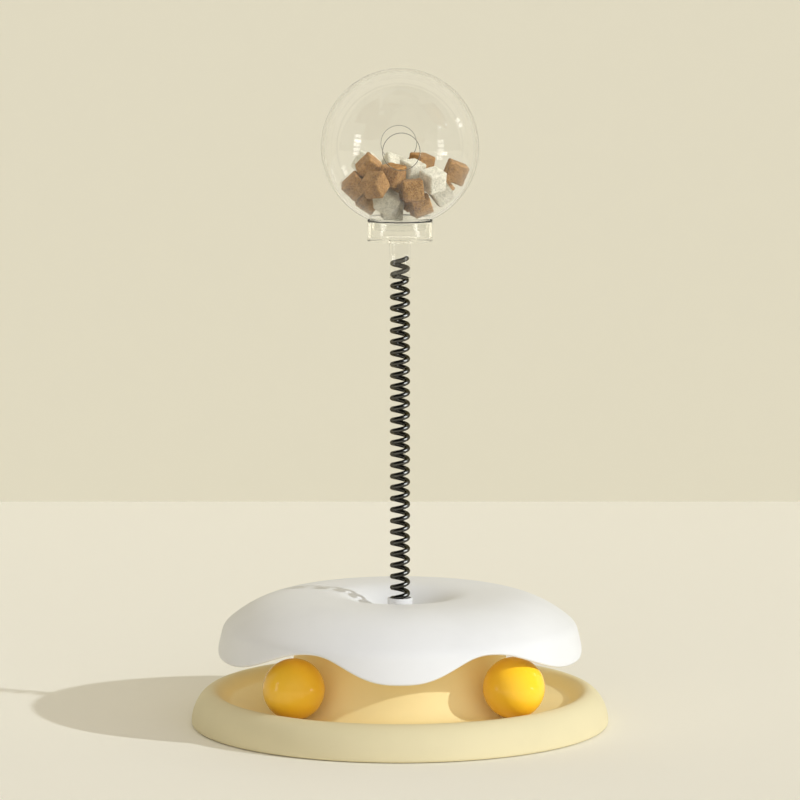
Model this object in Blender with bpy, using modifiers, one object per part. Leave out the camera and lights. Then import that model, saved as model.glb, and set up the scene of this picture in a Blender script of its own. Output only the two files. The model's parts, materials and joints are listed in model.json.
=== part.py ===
"""Cat treat dispenser toy: a clear treat globe that sways on a coil spring over a two-ball track.

Units are metres and +Z is up. The toy faces -Y, and the origin lies on the floor under the spring.
Bearings are degrees from the front, growing towards +X.
"""

import itertools
import math

import bmesh
import bpy
from mathutils import Euler, Matrix, Vector
from mathutils.bvhtree import BVHTree

# Gap left between two pieces that touch
FIT = 0.0003

# Balls
BALL_DIAMETER = 0.0362
LEFT_BALL_BEARING = -43.4
RIGHT_BALL_BEARING = 47.6

# Tray: a one-wall moulding with a rim, a ball track and a hollow hub
TRAY_WALL = 0.0024
TRAY_LIFT = 0.0003
TRACK_RADIUS = 0.0900
TRACK_FLOOR = 0.0136
TRACK_FLAT = 0.0100
TRACK_SIDE = 0.0120
RIM_RISE = 0.0069
RIM_SPREAD = 0.0125
RIM_ROUNDNESS = 1.8
RIM_TUCK = 0.0018
HUB_SWEEP = 0.0140
HUB_DRAFT = 0.0060
RIB_COUNT = 12
RIB_THICKNESS = 0.0018

# Anti-slip pads in round sockets under the track
FOOT_COUNT = 6
FOOT_RADIUS = 0.0065
FOOT_EDGE = 0.0004
FOOT_REVEAL = 0.0010
FOOT_SOCKET_DEPTH = 0.0014
FOOT_SOCKET_WALL = 0.0016

# Cover: a dome with a dimple in the middle and a skirt that ends in lobes
COVER_WALL = 0.0022
COVER_OVERHANG = 0.0153
ARCH_CLEARANCE = 0.0072
ARCH_BEARINGS = (29.0, 110.0, 180.0, 250.0, 331.0)
LOBE_DROP = 0.0149
LOBE_FULLNESS = 1.4
SKIRT_LEAST = 0.0021
SKIRT_FLARE = 0.245
SHOULDER_ROUND = 0.0030
DOME_RISE = 0.0187
DOME_POWER = 2.6
DIMPLE_DEPTH = 0.0137
DIMPLE_SPREAD = 0.0409
DIMPLE_STEEPNESS = 4.0
DIMPLE_MARGIN = 0.0030

# Screws that hold the cover on the hub from below
SCREW_COUNT = 3
SCREW_RADIUS = 0.0015
SCREW_LENGTH = 0.0110
SCREW_HEAD_RADIUS = 0.0030
SCREW_HEAD_HEIGHT = 0.0020
SCREW_MARGIN = 0.00295
BOSS_WALL = 0.0018

# Socket in the dimple for the lower end of the spring
SOCKET_WALL = 0.0011
SOCKET_REVEAL = 0.0110
SOCKET_DEPTH = 0.0075
SOCKET_EDGE = 0.0004
FLANGE_SPREAD = 0.0056
FLANGE_THICKNESS = 0.0020
SPIGOT_RADIUS = 0.0050
SPIGOT_LENGTH = 0.0021

# Spring
SPRING_DIAMETER = 0.0121
SPRING_WIRE = 0.0029
SPRING_TURNS = 30.73
SPRING_START_BEARING = 172.0
SPRING_BEND = 0.0018
POINTS_PER_TURN = 8

# Stem: clear tube over the upper end of the spring
STEM_DIAMETER = 0.0125
STEM_WALL = 0.00065
STEM_STEP = 0.0005
STEM_GRIP = 0.0136
STEM_LENGTH = 0.0214
STEM_EDGE = 0.0003

# Cup under the globe, and the seal between them
CAP_BOTTOM = 0.2883
CAP_RADIUS = 0.0194
CAP_WALL = 0.0020
CAP_FLOOR = 0.0020
CAP_HEIGHT = 0.0117
CAP_EDGE = 0.0006
SEAL_WIDTH = 0.0014
SEAL_OVERHANG = 0.0002

# Globe
GLOBE_RADIUS = 0.0466
GLOBE_WALL = 0.0018
GLOBE_HOLE_RADIUS = 0.01065
GLOBE_TURN = 1.0
NECK_LENGTH = 0.0033

# Treats
TREAT_SIZE = 0.0120
TREAT_EDGE = 0.0008
LOOSEN_ROUNDS = 400

# Smoothness of the facets
TRAY_STEPS = 48
COVER_COLUMNS = 54
COVER_ROWS = 16
GLOBE_STEPS = 28
CAP_STEPS = 28
TUBE_STEPS = 24
FOOT_STEPS = 16
SMALL_STEPS = 12
BALL_STEPS = 20
SURE_CUT = 0.0050

# Heights and radii that follow from the sizes above
BALL_RADIUS = BALL_DIAMETER / 2
RIM_TOP = TRACK_FLOOR + RIM_RISE
CREST_RADIUS = TRACK_RADIUS + TRACK_FLAT + TRACK_SIDE
BASE_RADIUS = CREST_RADIUS + RIM_SPREAD
BALL_HEIGHT = TRACK_FLOOR + FIT + BALL_RADIUS
ARCH_HEIGHT = BALL_HEIGHT + BALL_RADIUS + ARCH_CLEARANCE
SHOULDER_HEIGHT = ARCH_HEIGHT + SKIRT_LEAST
DOME_TOP = SHOULDER_HEIGHT + DOME_RISE
DIMPLE_FLOOR = DOME_TOP - DIMPLE_DEPTH
SOCKET_BORE = SPRING_DIAMETER / 2 + FIT
SOCKET_RADIUS = SOCKET_BORE + SOCKET_WALL
FLANGE_TOP = DIMPLE_FLOOR - COVER_WALL - FIT
HUB_TOP = FLANGE_TOP - FLANGE_THICKNESS - FIT
SOCKET_FLOOR = DIMPLE_FLOOR + SOCKET_REVEAL - SOCKET_DEPTH
COVER_HOLE = SOCKET_RADIUS + FIT
DIMPLE_RADIUS = COVER_HOLE + DIMPLE_MARGIN
DOME_START = DIMPLE_RADIUS + DIMPLE_SPREAD
HUB_EDGE = TRACK_RADIUS - TRACK_FLAT - HUB_SWEEP - HUB_DRAFT
SCREW_CIRCLE = HUB_EDGE - TRAY_WALL - SCREW_HEAD_RADIUS - SCREW_MARGIN
SHOULDER_RADIUS = TRACK_RADIUS + COVER_OVERHANG
STEM_RADIUS = STEM_DIAMETER / 2
STEM_BORE = STEM_RADIUS - STEM_WALL
STEM_TOP = CAP_BOTTOM + CAP_FLOOR
STEM_BOTTOM = CAP_BOTTOM - FIT - STEM_LENGTH
SPRING_SHOULDER = STEM_BOTTOM + STEM_GRIP
CAP_TOP = CAP_BOTTOM + CAP_HEIGHT
CAP_BORE = CAP_RADIUS - CAP_WALL
NECK_RADIUS = CAP_BORE - FIT
SEAL_OUTER = CAP_RADIUS + SEAL_OVERHANG
SEAL_INNER = SEAL_OUTER - SEAL_WIDTH
GLOBE_INNER = GLOBE_RADIUS - GLOBE_WALL
SEAL_LEAST = FIT
GLOBE_HEIGHT = CAP_TOP + 2 * FIT + SEAL_LEAST + math.sqrt(GLOBE_RADIUS**2 - SEAL_INNER**2)
GLOBE_CENTRE = Vector((0, 0, GLOBE_HEIGHT))
TREAT_REACH = GLOBE_INNER * math.cos(math.pi / GLOBE_STEPS) ** 2
LOWER_PIVOT = SOCKET_FLOOR + (SPRING_SHOULDER - SOCKET_FLOOR) * 0.25
UPPER_PIVOT = SOCKET_FLOOR + (SPRING_SHOULDER - SOCKET_FLOOR) * 0.75

# Treats: place in the globe as shares of its inner radius, then the turn about Z, the tilt
# towards the front and the roll to the right in degrees, and the colour
BROWN, WHITE = "brown treat", "white treat"
TREATS = (
    (-0.08, -0.02, -0.85, 10, 0, 5, WHITE),
    (-0.37, 0.00, -0.76, 10, 4, 36, BROWN),
    (0.21, -0.08, -0.75, 15, 6, -18, BROWN),
    (-0.16, -0.43, -0.66, 15, 15, 35, WHITE),
    (0.47, -0.10, -0.66, 6, 6, -36, WHITE),
    (0.13, -0.60, -0.54, 5, 4, -4, BROWN),
    (-0.57, -0.25, -0.52, 10, 6, 46, BROWN),
    (-0.30, -0.58, -0.48, 52, 28, -25, BROWN),
    (0.42, -0.38, -0.33, 39, 22, 3, WHITE),
    (0.70, -0.12, -0.38, 8, 5, 22, BROWN),
    (-0.13, -0.30, -0.32, 60, 10, 5, BROWN),
    (0.12, -0.14, -0.35, 40, 14, 10, WHITE),
    (-0.40, -0.16, -0.30, 20, 10, 45, BROWN),
    (-0.38, 0.20, -0.22, 45, 12, 30, WHITE),
    (0.22, 0.26, -0.28, 40, 8, 10, BROWN),
    (-0.08, 0.26, -0.26, 20, 25, 30, WHITE),
    (0.18, 0.32, -0.76, 35, 20, 10, BROWN),
    (-0.20, 0.34, -0.74, 15, 25, 35, WHITE),
    (0.52, 0.26, -0.60, 25, 10, -38, BROWN),
    (-0.52, 0.33, -0.54, 25, 30, 20, WHITE),
    (0.00, 0.60, -0.54, 35, 28, 10, WHITE),
    (0.36, 0.58, -0.45, 10, 20, -15, BROWN),
    (-0.34, 0.62, -0.45, 20, 15, 40, BROWN),
    (0.02, 0.06, -0.60, 50, 2, 5, BROWN),
)


def bearing_point(bearing, radius, height):
    """Point on a circle round the Z axis."""
    angle = math.radians(bearing)
    return Vector((radius * math.sin(angle), -radius * math.cos(angle), height))


def bearings(count, first=0.0):
    """Evenly spaced bearings round the toy."""
    return [first + 360.0 * i / count for i in range(count)]


def new_collection(name):
    """Collection linked to the scene."""
    collection = bpy.data.collections.new(name)
    bpy.context.scene.collection.children.link(collection)
    return collection


def plastic(name, colour, roughness, metallic=0.0, transmission=0.0):
    """Principled material of one plain colour."""
    material = bpy.data.materials.new(name)
    material.use_nodes = True
    shader = material.node_tree.nodes["Principled BSDF"]
    shader.inputs["Base Color"].default_value = (*colour, 1.0)
    shader.inputs["Roughness"].default_value = roughness
    shader.inputs["Metallic"].default_value = metallic
    shader.inputs["Transmission Weight"].default_value = transmission
    return material


def add_part(name, data, material, parent=None, at=(0, 0, 0)):
    """Named piece of the toy at a world place, carried by an unturned parent empty."""
    part = bpy.data.objects.new(name, data)
    PARTS.objects.link(part)
    data.materials.append(material)
    part.location = Vector(at)
    if parent is not None:
        part.parent = parent
        part.location -= parent_place(parent)
    return part


def parent_place(empty):
    """World place of a chain of unturned empties."""
    place = Vector(empty.location)
    if empty.parent is not None:
        place += parent_place(empty.parent)
    return place


def add_pivot(name, at, parent=None):
    """Empty on a joint's axis."""
    pivot = bpy.data.objects.new(name, None)
    PARTS.objects.link(pivot)
    pivot.location = Vector(at)
    if parent is not None:
        pivot.parent = parent
        pivot.location -= parent_place(parent)
    return pivot


def add_cutter(name, mesh):
    """Hidden helper solid for a Boolean."""
    cutter = bpy.data.objects.new(name, mesh)
    CUTTERS.objects.link(cutter)
    cutter.hide_render = True
    cutter.display_type = "WIRE"
    return cutter


def combine(part, operation, cutter):
    """Boolean modifier on a part."""
    modifier = part.modifiers.new(cutter.name, "BOOLEAN")
    modifier.operation = operation
    modifier.solver = "EXACT"
    modifier.object = cutter


def mesh_from(bm, name):
    """Mesh datablock from a bmesh, shaded smooth up to its sharp edges."""
    mesh = bpy.data.meshes.new(name)
    bm.to_mesh(mesh)
    bm.free()
    mesh.shade_smooth()
    mesh.set_sharp_from_angle(angle=math.radians(35))
    return mesh


def outline_mesh(name, outline):
    """Wire of a turned profile: closed, unless it starts and ends on the axis."""
    points = [(radius, 0.0, height) for radius, height in outline]
    edges = [(i, i + 1) for i in range(len(points) - 1)]
    if outline[0][0] > 0:
        edges.append((len(points) - 1, 0))
    mesh = bpy.data.meshes.new(name)
    mesh.from_pydata(points, edges, [])
    return mesh


def spin(part, steps):
    """Turn a profile round the Z axis."""
    screw = part.modifiers.new("turn", "SCREW")
    screw.axis = "Z"
    screw.angle = 2 * math.pi
    screw.screw_offset = 0
    screw.steps = steps
    screw.render_steps = steps
    screw.use_merge_vertices = True
    screw.merge_threshold = 0.00001
    screw.use_smooth_shade = True
    return part


def add_turned(name, outline, steps, material, parent=None, at=(0, 0, 0)):
    """Turned piece from a profile that runs down its outer side."""
    return spin(add_part(name, outline_mesh(name, outline), material, parent, at), steps)


def posts(name, places, radius, top, steps=SMALL_STEPS):
    """Upright cylinders that share a radius and a top, each standing on its own place."""
    bm = bmesh.new()
    for place in places:
        height = top - place.z
        middle = Matrix.Translation((place.x, place.y, place.z + height / 2))
        bmesh.ops.create_cone(bm, cap_ends=True, segments=steps, radius1=radius, radius2=radius,
                              depth=height, matrix=middle)
    return add_cutter(name, mesh_from(bm, name))


def curve_points(first, control, last, count):
    """Points along a quadratic curve, both ends included."""
    found = []
    for i in range(count + 1):
        t = i / count
        weights = ((1 - t) ** 2, 2 * t * (1 - t), t * t)
        found.append(tuple(sum(w * p[k] for w, p in zip(weights, (first, control, last)))
                           for k in range(2)))
    return found


def ease(share):
    """Smooth step from 0 to 1."""
    return (1 - math.cos(math.pi * share)) / 2


def rim_curve(spread, rise, foot, count):
    """Outer curve of the rim from its crest down to its widest line."""
    found = []
    for i in range(count + 1):
        angle = math.pi / 2 * i / count
        across = math.sin(angle) ** (2 / RIM_ROUNDNESS)
        up = math.cos(angle) ** (2 / RIM_ROUNDNESS)
        found.append((CREST_RADIUS + spread * across, foot + rise * up))
    return found


def track_curve(drop, count):
    """Track side from the flat floor up to the rim's crest, lowered by the wall for the underside."""
    start = TRACK_RADIUS + TRACK_FLAT
    return [(start + TRACK_SIDE * i / count, TRACK_FLOOR + RIM_RISE * ease(i / count) - drop)
            for i in range(count + 1)]


def hub_curve(wall, count):
    """Hub from its top down to the track floor, moved in and down by the wall for the inside."""
    foot = TRACK_RADIUS - TRACK_FLAT
    bend = (foot - HUB_SWEEP - wall, TRACK_FLOOR - wall)
    top = (HUB_EDGE - wall, HUB_TOP - wall)
    return curve_points(top, bend, (foot, TRACK_FLOOR - wall), count)


def tray_outline():
    """Section of the tray: over the top from the hub hole to the rim, then back underneath."""
    widest = TRAY_LIFT + RIM_TUCK
    hole = SPIGOT_RADIUS + FIT
    top = [(hole, HUB_TOP)] + hub_curve(0, 6) + track_curve(0, 5)
    rim = rim_curve(RIM_SPREAD, RIM_TOP - widest, widest, 6)[1:]
    edge = [(BASE_RADIUS - RIM_TUCK, TRAY_LIFT), (BASE_RADIUS - RIM_TUCK - TRAY_WALL, TRAY_LIFT)]
    inside = rim_curve(RIM_SPREAD - TRAY_WALL, RIM_TOP - TRAY_WALL - widest, widest, 4)
    under = inside[::-1] + track_curve(TRAY_WALL, 3)[::-1][1:] + hub_curve(TRAY_WALL, 4)[::-1]
    return top + rim + edge + under + [(hole, HUB_TOP - TRAY_WALL)]


def tray_ribs():
    """Radial ribs under the track, from the hub wall to the rim wall."""
    top = TRACK_FLOOR - TRAY_WALL / 2
    inner = TRACK_RADIUS - TRACK_FLAT - HUB_SWEEP / 2
    share = (top - TRAY_LIFT - RIM_TUCK) / (RIM_TOP - TRAY_LIFT - RIM_TUCK)
    reach = (1 - share**RIM_ROUNDNESS) ** (1 / RIM_ROUNDNESS)
    outer = CREST_RADIUS + RIM_SPREAD * reach - TRAY_WALL / 2
    bottom = FOOT_REVEAL + FOOT_SOCKET_DEPTH
    bm = bmesh.new()
    for bearing in bearings(RIB_COUNT):
        size = Matrix.Diagonal((RIB_THICKNESS, outer - inner, top - bottom, 1))
        place = Matrix.Translation((0, -(outer + inner) / 2, (top + bottom) / 2))
        turn = Matrix.Rotation(math.radians(bearing), 4, "Z")
        bmesh.ops.create_cube(bm, size=1, matrix=turn @ place @ size)
    return add_cutter("tray_ribs", mesh_from(bm, "tray_ribs"))


def add_tray(material):
    """Tray with its ribs, foot sockets and screw holes."""
    tray = add_turned("base_tray", tray_outline(), TRAY_STEPS, material)
    feet = [bearing_point(b, TRACK_RADIUS, FOOT_REVEAL) for b in bearings(FOOT_COUNT)]
    below = [bearing_point(b, TRACK_RADIUS, -SURE_CUT) for b in bearings(FOOT_COUNT)]
    holes = [bearing_point(b, SCREW_CIRCLE, HUB_TOP - TRAY_WALL - SURE_CUT)
             for b in bearings(SCREW_COUNT)]
    bore = FOOT_RADIUS + FIT
    middle = TRACK_FLOOR - TRAY_WALL / 2
    combine(tray, "UNION", tray_ribs())
    combine(tray, "UNION", posts("foot_sockets", feet, bore + FOOT_SOCKET_WALL, middle, FOOT_STEPS))
    combine(tray, "DIFFERENCE",
            posts("foot_bores", below, bore, FOOT_REVEAL + FOOT_SOCKET_DEPTH, FOOT_STEPS))
    combine(tray, "DIFFERENCE",
            posts("tray_screw_holes", holes, SCREW_RADIUS + FIT, HUB_TOP + SURE_CUT))


def add_feet(material):
    """Anti-slip pads that stand out of their sockets and carry the toy."""
    top = FOOT_REVEAL + FOOT_SOCKET_DEPTH - FIT
    inner = FOOT_RADIUS - FOOT_EDGE
    outline = [(0, top), (inner, top), (FOOT_RADIUS, top - FOOT_EDGE), (FOOT_RADIUS, FOOT_EDGE),
               (inner, 0), (0, 0)]
    for i, bearing in enumerate(bearings(FOOT_COUNT)):
        add_turned(f"foot_{i + 1}", outline, FOOT_STEPS, material,
                   at=bearing_point(bearing, TRACK_RADIUS, 0))


def cover_section():
    """Outer side of the cover from its hole to the lowest lobe, as closely spaced points."""
    width = SHOULDER_RADIUS - DOME_START
    shoulder = (SHOULDER_RADIUS, SHOULDER_HEIGHT)

    def skirt(drop):
        return (SHOULDER_RADIUS + drop * SKIRT_FLARE, SHOULDER_HEIGHT - drop)

    found = [(COVER_HOLE, DIMPLE_FLOOR)]
    for i in range(25):
        share = i / 24
        left = (1 - share) ** DIMPLE_STEEPNESS * (1 + DIMPLE_STEEPNESS * share)
        found.append((DIMPLE_RADIUS + DIMPLE_SPREAD * share, DOME_TOP - DIMPLE_DEPTH * left))
    for i in range(1, 25):
        share = (1 - SHOULDER_ROUND / width) * i / 24
        found.append((DOME_START + width * share, DOME_TOP - DOME_RISE * share**DOME_POWER))
    found += curve_points(found[-1], shoulder, skirt(SHOULDER_ROUND), 8)[1:]
    found.append(skirt(SKIRT_LEAST + LOBE_DROP + SURE_CUT))
    return found


def lobe_share(bearing):
    """Depth of the skirt at a bearing: 0 at an arch and 1 in the middle of a lobe."""
    turn = (bearing - ARCH_BEARINGS[0]) % 360 + ARCH_BEARINGS[0]
    arches = (*ARCH_BEARINGS, ARCH_BEARINGS[0] + 360)
    first, second = next(pair for pair in zip(arches, arches[1:]) if turn <= pair[1])
    rest = (1 + math.cos(2 * math.pi * (turn - first) / (second - first))) / 2
    return 1 - rest**LOBE_FULLNESS


def lengths_along(section):
    """Distance from the start of a section to each of its points."""
    total, found = 0.0, [0.0]
    for first, second in zip(section, section[1:]):
        total += math.dist(first, second)
        found.append(total)
    return found


def between(value, table, wanted):
    """Value of the wanted list where the rising table reaches the given value."""
    for i in range(1, len(table)):
        if table[i] >= value:
            share = (value - table[i - 1]) / (table[i] - table[i - 1])
            return wanted[i - 1] + share * (wanted[i] - wanted[i - 1])
    return wanted[-1]


def cover_mesh():
    """Sheet bent into the dome, with every column cut off at the wave of the lobes."""
    section = cover_section()
    lengths = lengths_along(section)
    radii = [point[0] for point in section]
    heights = [point[1] for point in section]
    outside = next(i for i, radius in enumerate(radii) if radius > DOME_START)
    falling = [-height for height in heights[outside:]]
    shortest = between(-ARCH_HEIGHT, falling, lengths[outside:])
    bm = bmesh.new()
    bmesh.ops.create_grid(bm, x_segments=COVER_COLUMNS, y_segments=COVER_ROWS, size=0.5)
    for vertex in bm.verts:
        across, out = vertex.co.x + 0.5, vertex.co.y + 0.5
        wave = lobe_share(-360 * across)
        longest = between(LOBE_DROP * wave - ARCH_HEIGHT, falling, lengths[outside:])
        along = shortest * out + (longest - shortest) * out**3
        vertex.co = bearing_point(-360 * across, between(along, lengths, radii),
                                  between(along, lengths, heights))
    bmesh.ops.remove_doubles(bm, verts=bm.verts, dist=0.00001)
    return mesh_from(bm, "cover")


def add_cover(material):
    """White shell with screw bosses under its crest."""
    cover = add_part("cover", cover_mesh(), material)
    shell = cover.modifiers.new("wall", "SOLIDIFY")
    shell.thickness = COVER_WALL
    shell.offset = -1
    shell.use_even_offset = True
    bosses = [bearing_point(b, SCREW_CIRCLE, HUB_TOP + FIT) for b in bearings(SCREW_COUNT)]
    pilots = [bearing_point(b, SCREW_CIRCLE, HUB_TOP - SURE_CUT) for b in bearings(SCREW_COUNT)]
    bore = SCREW_RADIUS + FIT
    combine(cover, "UNION", posts("cover_bosses", bosses, bore + BOSS_WALL, DOME_TOP - COVER_WALL / 2))
    combine(cover, "DIFFERENCE",
            posts("cover_pilots", pilots, bore, HUB_TOP - TRAY_WALL + SCREW_LENGTH + FIT))


def add_screws(material):
    """Pan-head screws, driven up through the hub into the cover's bosses."""
    seat = HUB_TOP - TRAY_WALL - FIT
    outline = [(0, seat + SCREW_LENGTH), (SCREW_RADIUS / 2, seat + SCREW_LENGTH),
               (SCREW_RADIUS, seat + SCREW_LENGTH - SCREW_RADIUS), (SCREW_RADIUS, seat),
               (SCREW_HEAD_RADIUS, seat), (SCREW_HEAD_RADIUS, seat - SCREW_HEAD_HEIGHT / 2),
               (SCREW_HEAD_RADIUS * 0.7, seat - SCREW_HEAD_HEIGHT), (0, seat - SCREW_HEAD_HEIGHT)]
    for i, bearing in enumerate(bearings(SCREW_COUNT)):
        add_turned(f"cover_screw_{i + 1}", outline, SMALL_STEPS, material,
                   at=bearing_point(bearing, SCREW_CIRCLE, 0))


def add_socket(material):
    """Collar for the spring, with a flange that is trapped between cover and hub."""
    top = DIMPLE_FLOOR + SOCKET_REVEAL
    flange = SOCKET_RADIUS + FLANGE_SPREAD
    below = FLANGE_TOP - FLANGE_THICKNESS
    outline = [(0, SOCKET_FLOOR), (SOCKET_BORE, SOCKET_FLOOR), (SOCKET_BORE, top),
               (SOCKET_RADIUS - SOCKET_EDGE, top), (SOCKET_RADIUS, top - SOCKET_EDGE),
               (SOCKET_RADIUS, FLANGE_TOP), (flange, FLANGE_TOP), (flange, below),
               (SPIGOT_RADIUS, below), (SPIGOT_RADIUS, below - SPIGOT_LENGTH),
               (0, below - SPIGOT_LENGTH)]
    add_turned("spring_socket", outline, TUBE_STEPS, material)


def spring_path():
    """Centre line of the wire: an upright tail in the socket, then the turns up into the stem."""
    wide = (SPRING_DIAMETER - SPRING_WIRE) / 2
    narrow = STEM_BORE - FIT - SPRING_WIRE / 2
    bottom, top = SOCKET_FLOOR + FIT, SPRING_SHOULDER - FIT
    start = bottom + SPRING_WIRE + SPRING_BEND
    rise = (top - SPRING_WIRE / 2 - start) / SPRING_TURNS
    neck = (STEM_BOTTOM - start) / rise
    path = []

    def put(turns, height):
        share = min(max((turns - neck + 1.0), 0.0), 1.0)
        radius = wide + (narrow - wide) * ease(share)
        path.append(bearing_point(SPRING_START_BEARING + 360 * turns, radius, height))

    for share in (0.0, 1.0):
        put(-SPRING_BEND / (2 * math.pi * wide), bottom + SPRING_WIRE * share)
    for share in (0.35, 0.7):
        angle = math.pi / 2 * share
        put(-SPRING_BEND * math.cos(angle) ** 2 / (2 * math.pi * wide),
            bottom + SPRING_WIRE + SPRING_BEND * math.sin(angle))
    count = round(SPRING_TURNS * POINTS_PER_TURN)
    for i in range(count + 1):
        turns = SPRING_TURNS * i / count
        put(turns, start + rise * turns)
    return path


def least_gap(path, wire):
    """Least clear distance between two stretches of the wire that aren't neighbours."""
    apart = POINTS_PER_TURN // 2 + 1
    least = min((path[i] - path[k]).length
                for i in range(len(path)) for k in range(i + apart, min(len(path), i + 4 * apart)))
    return least - wire


def add_spring(material, pivot):
    """Unbroken wire from the socket's floor to the shoulder in the stem."""
    path = spring_path()
    curve = bpy.data.curves.new("spring", "CURVE")
    curve.dimensions = "3D"
    curve.bevel_depth = SPRING_WIRE / 2
    curve.bevel_resolution = 1
    curve.use_fill_caps = True
    origin = parent_place(pivot)
    spline = curve.splines.new("POLY")
    spline.points.add(len(path) - 1)
    for point, place in zip(spline.points, path):
        point.co = (*(place - origin), 1)
    add_part("spring", curve, material, pivot, origin)
    print(f"spring: least gap to itself {least_gap(path, SPRING_WIRE) * 1000:.2f} mm")


def add_stem(material, pivot):
    """Clear tube, stepped inside for the spring's end and outside for the hole in the cap."""
    bore = STEM_BORE - STEM_STEP
    neck = STEM_RADIUS - STEM_STEP
    shoulder = CAP_BOTTOM - FIT
    outline = [(bore, STEM_TOP), (neck, STEM_TOP), (neck, shoulder), (STEM_RADIUS, shoulder),
               (STEM_RADIUS, STEM_BOTTOM + STEM_EDGE), (STEM_RADIUS - STEM_EDGE, STEM_BOTTOM),
               (STEM_BORE, STEM_BOTTOM), (STEM_BORE, SPRING_SHOULDER), (bore, SPRING_SHOULDER)]
    lowered = [(radius, height - UPPER_PIVOT) for radius, height in outline]
    add_turned("spring_stem", lowered, TUBE_STEPS, material, pivot, (0, 0, UPPER_PIVOT))


def add_cap(material, pivot):
    """Clear cup that takes the globe's neck."""
    hole = STEM_RADIUS - STEM_STEP + FIT
    floor = CAP_BOTTOM + CAP_FLOOR
    outline = [(hole, floor), (CAP_BORE, floor), (CAP_BORE, CAP_TOP), (CAP_RADIUS, CAP_TOP),
               (CAP_RADIUS, CAP_BOTTOM + CAP_EDGE), (CAP_RADIUS - CAP_EDGE, CAP_BOTTOM),
               (hole, CAP_BOTTOM)]
    lowered = [(radius, height - UPPER_PIVOT) for radius, height in outline]
    add_turned("globe_cap", lowered, CAP_STEPS, material, pivot, (0, 0, UPPER_PIVOT))


def globe_underside(radius):
    """Height of the globe's outside at a radius near its foot."""
    return GLOBE_HEIGHT - math.sqrt(GLOBE_RADIUS**2 - radius**2)


def add_seal(material, pivot):
    """Wedge ring that fills the crevice between the cap's rim and the globe."""
    bottom = CAP_TOP + FIT - UPPER_PIVOT
    inner = globe_underside(SEAL_INNER) - FIT - UPPER_PIVOT
    outer = globe_underside(SEAL_OUTER) - FIT - UPPER_PIVOT
    outline = [(SEAL_INNER, inner), (SEAL_OUTER, outer), (SEAL_OUTER, bottom), (SEAL_INNER, bottom)]
    add_turned("cap_seal", outline, CAP_STEPS, material, pivot, (0, 0, UPPER_PIVOT))


def add_globe(material, pivot):
    """Hollow globe with a neck below and a treat hole in front and behind."""
    foot = globe_underside(0) + GLOBE_WALL - NECK_LENGTH - GLOBE_HEIGHT
    inner = NECK_RADIUS - GLOBE_WALL
    meet = math.pi - math.asin(NECK_RADIUS / GLOBE_RADIUS)
    outline = [(GLOBE_RADIUS * math.sin(meet * i / 13), GLOBE_RADIUS * math.cos(meet * i / 13))
               for i in range(14)]
    outline += [(NECK_RADIUS, foot), (inner, foot), (inner, globe_underside(inner) - GLOBE_HEIGHT)]
    outline += [(inner / 2, globe_underside(inner / 2) - GLOBE_HEIGHT), (0, -GLOBE_RADIUS)]
    globe = add_turned("treat_globe", outline, GLOBE_STEPS, material, pivot, GLOBE_CENTRE)
    bm = bmesh.new()
    bmesh.ops.create_uvsphere(bm, u_segments=GLOBE_STEPS, v_segments=GLOBE_STEPS // 2,
                              radius=GLOBE_INNER)
    hollow = add_cutter("globe_hollow", mesh_from(bm, "globe_hollow"))
    hollow.location = GLOBE_CENTRE
    bm = bmesh.new()
    bmesh.ops.create_cone(bm, cap_ends=True, segments=TUBE_STEPS, radius1=GLOBE_HOLE_RADIUS,
                          radius2=GLOBE_HOLE_RADIUS, depth=2 * (GLOBE_RADIUS + SURE_CUT))
    hole = add_cutter("treat_holes", mesh_from(bm, "treat_holes"))
    hole.location = GLOBE_CENTRE
    hole.rotation_euler = (math.pi / 2, 0, math.radians(GLOBE_TURN))
    combine(globe, "DIFFERENCE", hollow)
    combine(globe, "DIFFERENCE", hole)


def add_ball(name, bearing, material):
    """Ball on the track, carried by an empty on the axis it runs round."""
    pivot = add_pivot(f"{name}_pivot", (0, 0, BALL_HEIGHT))
    bm = bmesh.new()
    bmesh.ops.create_uvsphere(bm, u_segments=BALL_STEPS, v_segments=BALL_STEPS // 2, radius=BALL_RADIUS)
    add_part(name, mesh_from(bm, name), material, pivot, bearing_point(bearing, TRACK_RADIUS, BALL_HEIGHT))


def treat_bmesh():
    """Cube with its edges taken off."""
    bm = bmesh.new()
    bmesh.ops.create_cube(bm, size=TREAT_SIZE)
    bmesh.ops.bevel(bm, geom=bm.edges[:], offset=TREAT_EDGE, segments=1, affect="EDGES")
    return bm


def cube_gap(apart, first, second):
    """Clear distance between two turned cubes, less than 0 where they overlap, and the way between."""
    ways = [*first, *second, *(a.cross(b) for a in first for b in second)]
    best, best_way = -math.inf, None
    for way in ways:
        if way.length < 0.01:
            continue
        way = way.normalized()
        reach = sum(abs(way.dot(edge)) for edge in (*first, *second)) * TREAT_SIZE / 2
        along = apart.dot(way)
        if abs(along) - reach > best:
            best = abs(along) - reach
            best_way = way if along > 0 else -way
    return best, best_way


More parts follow.
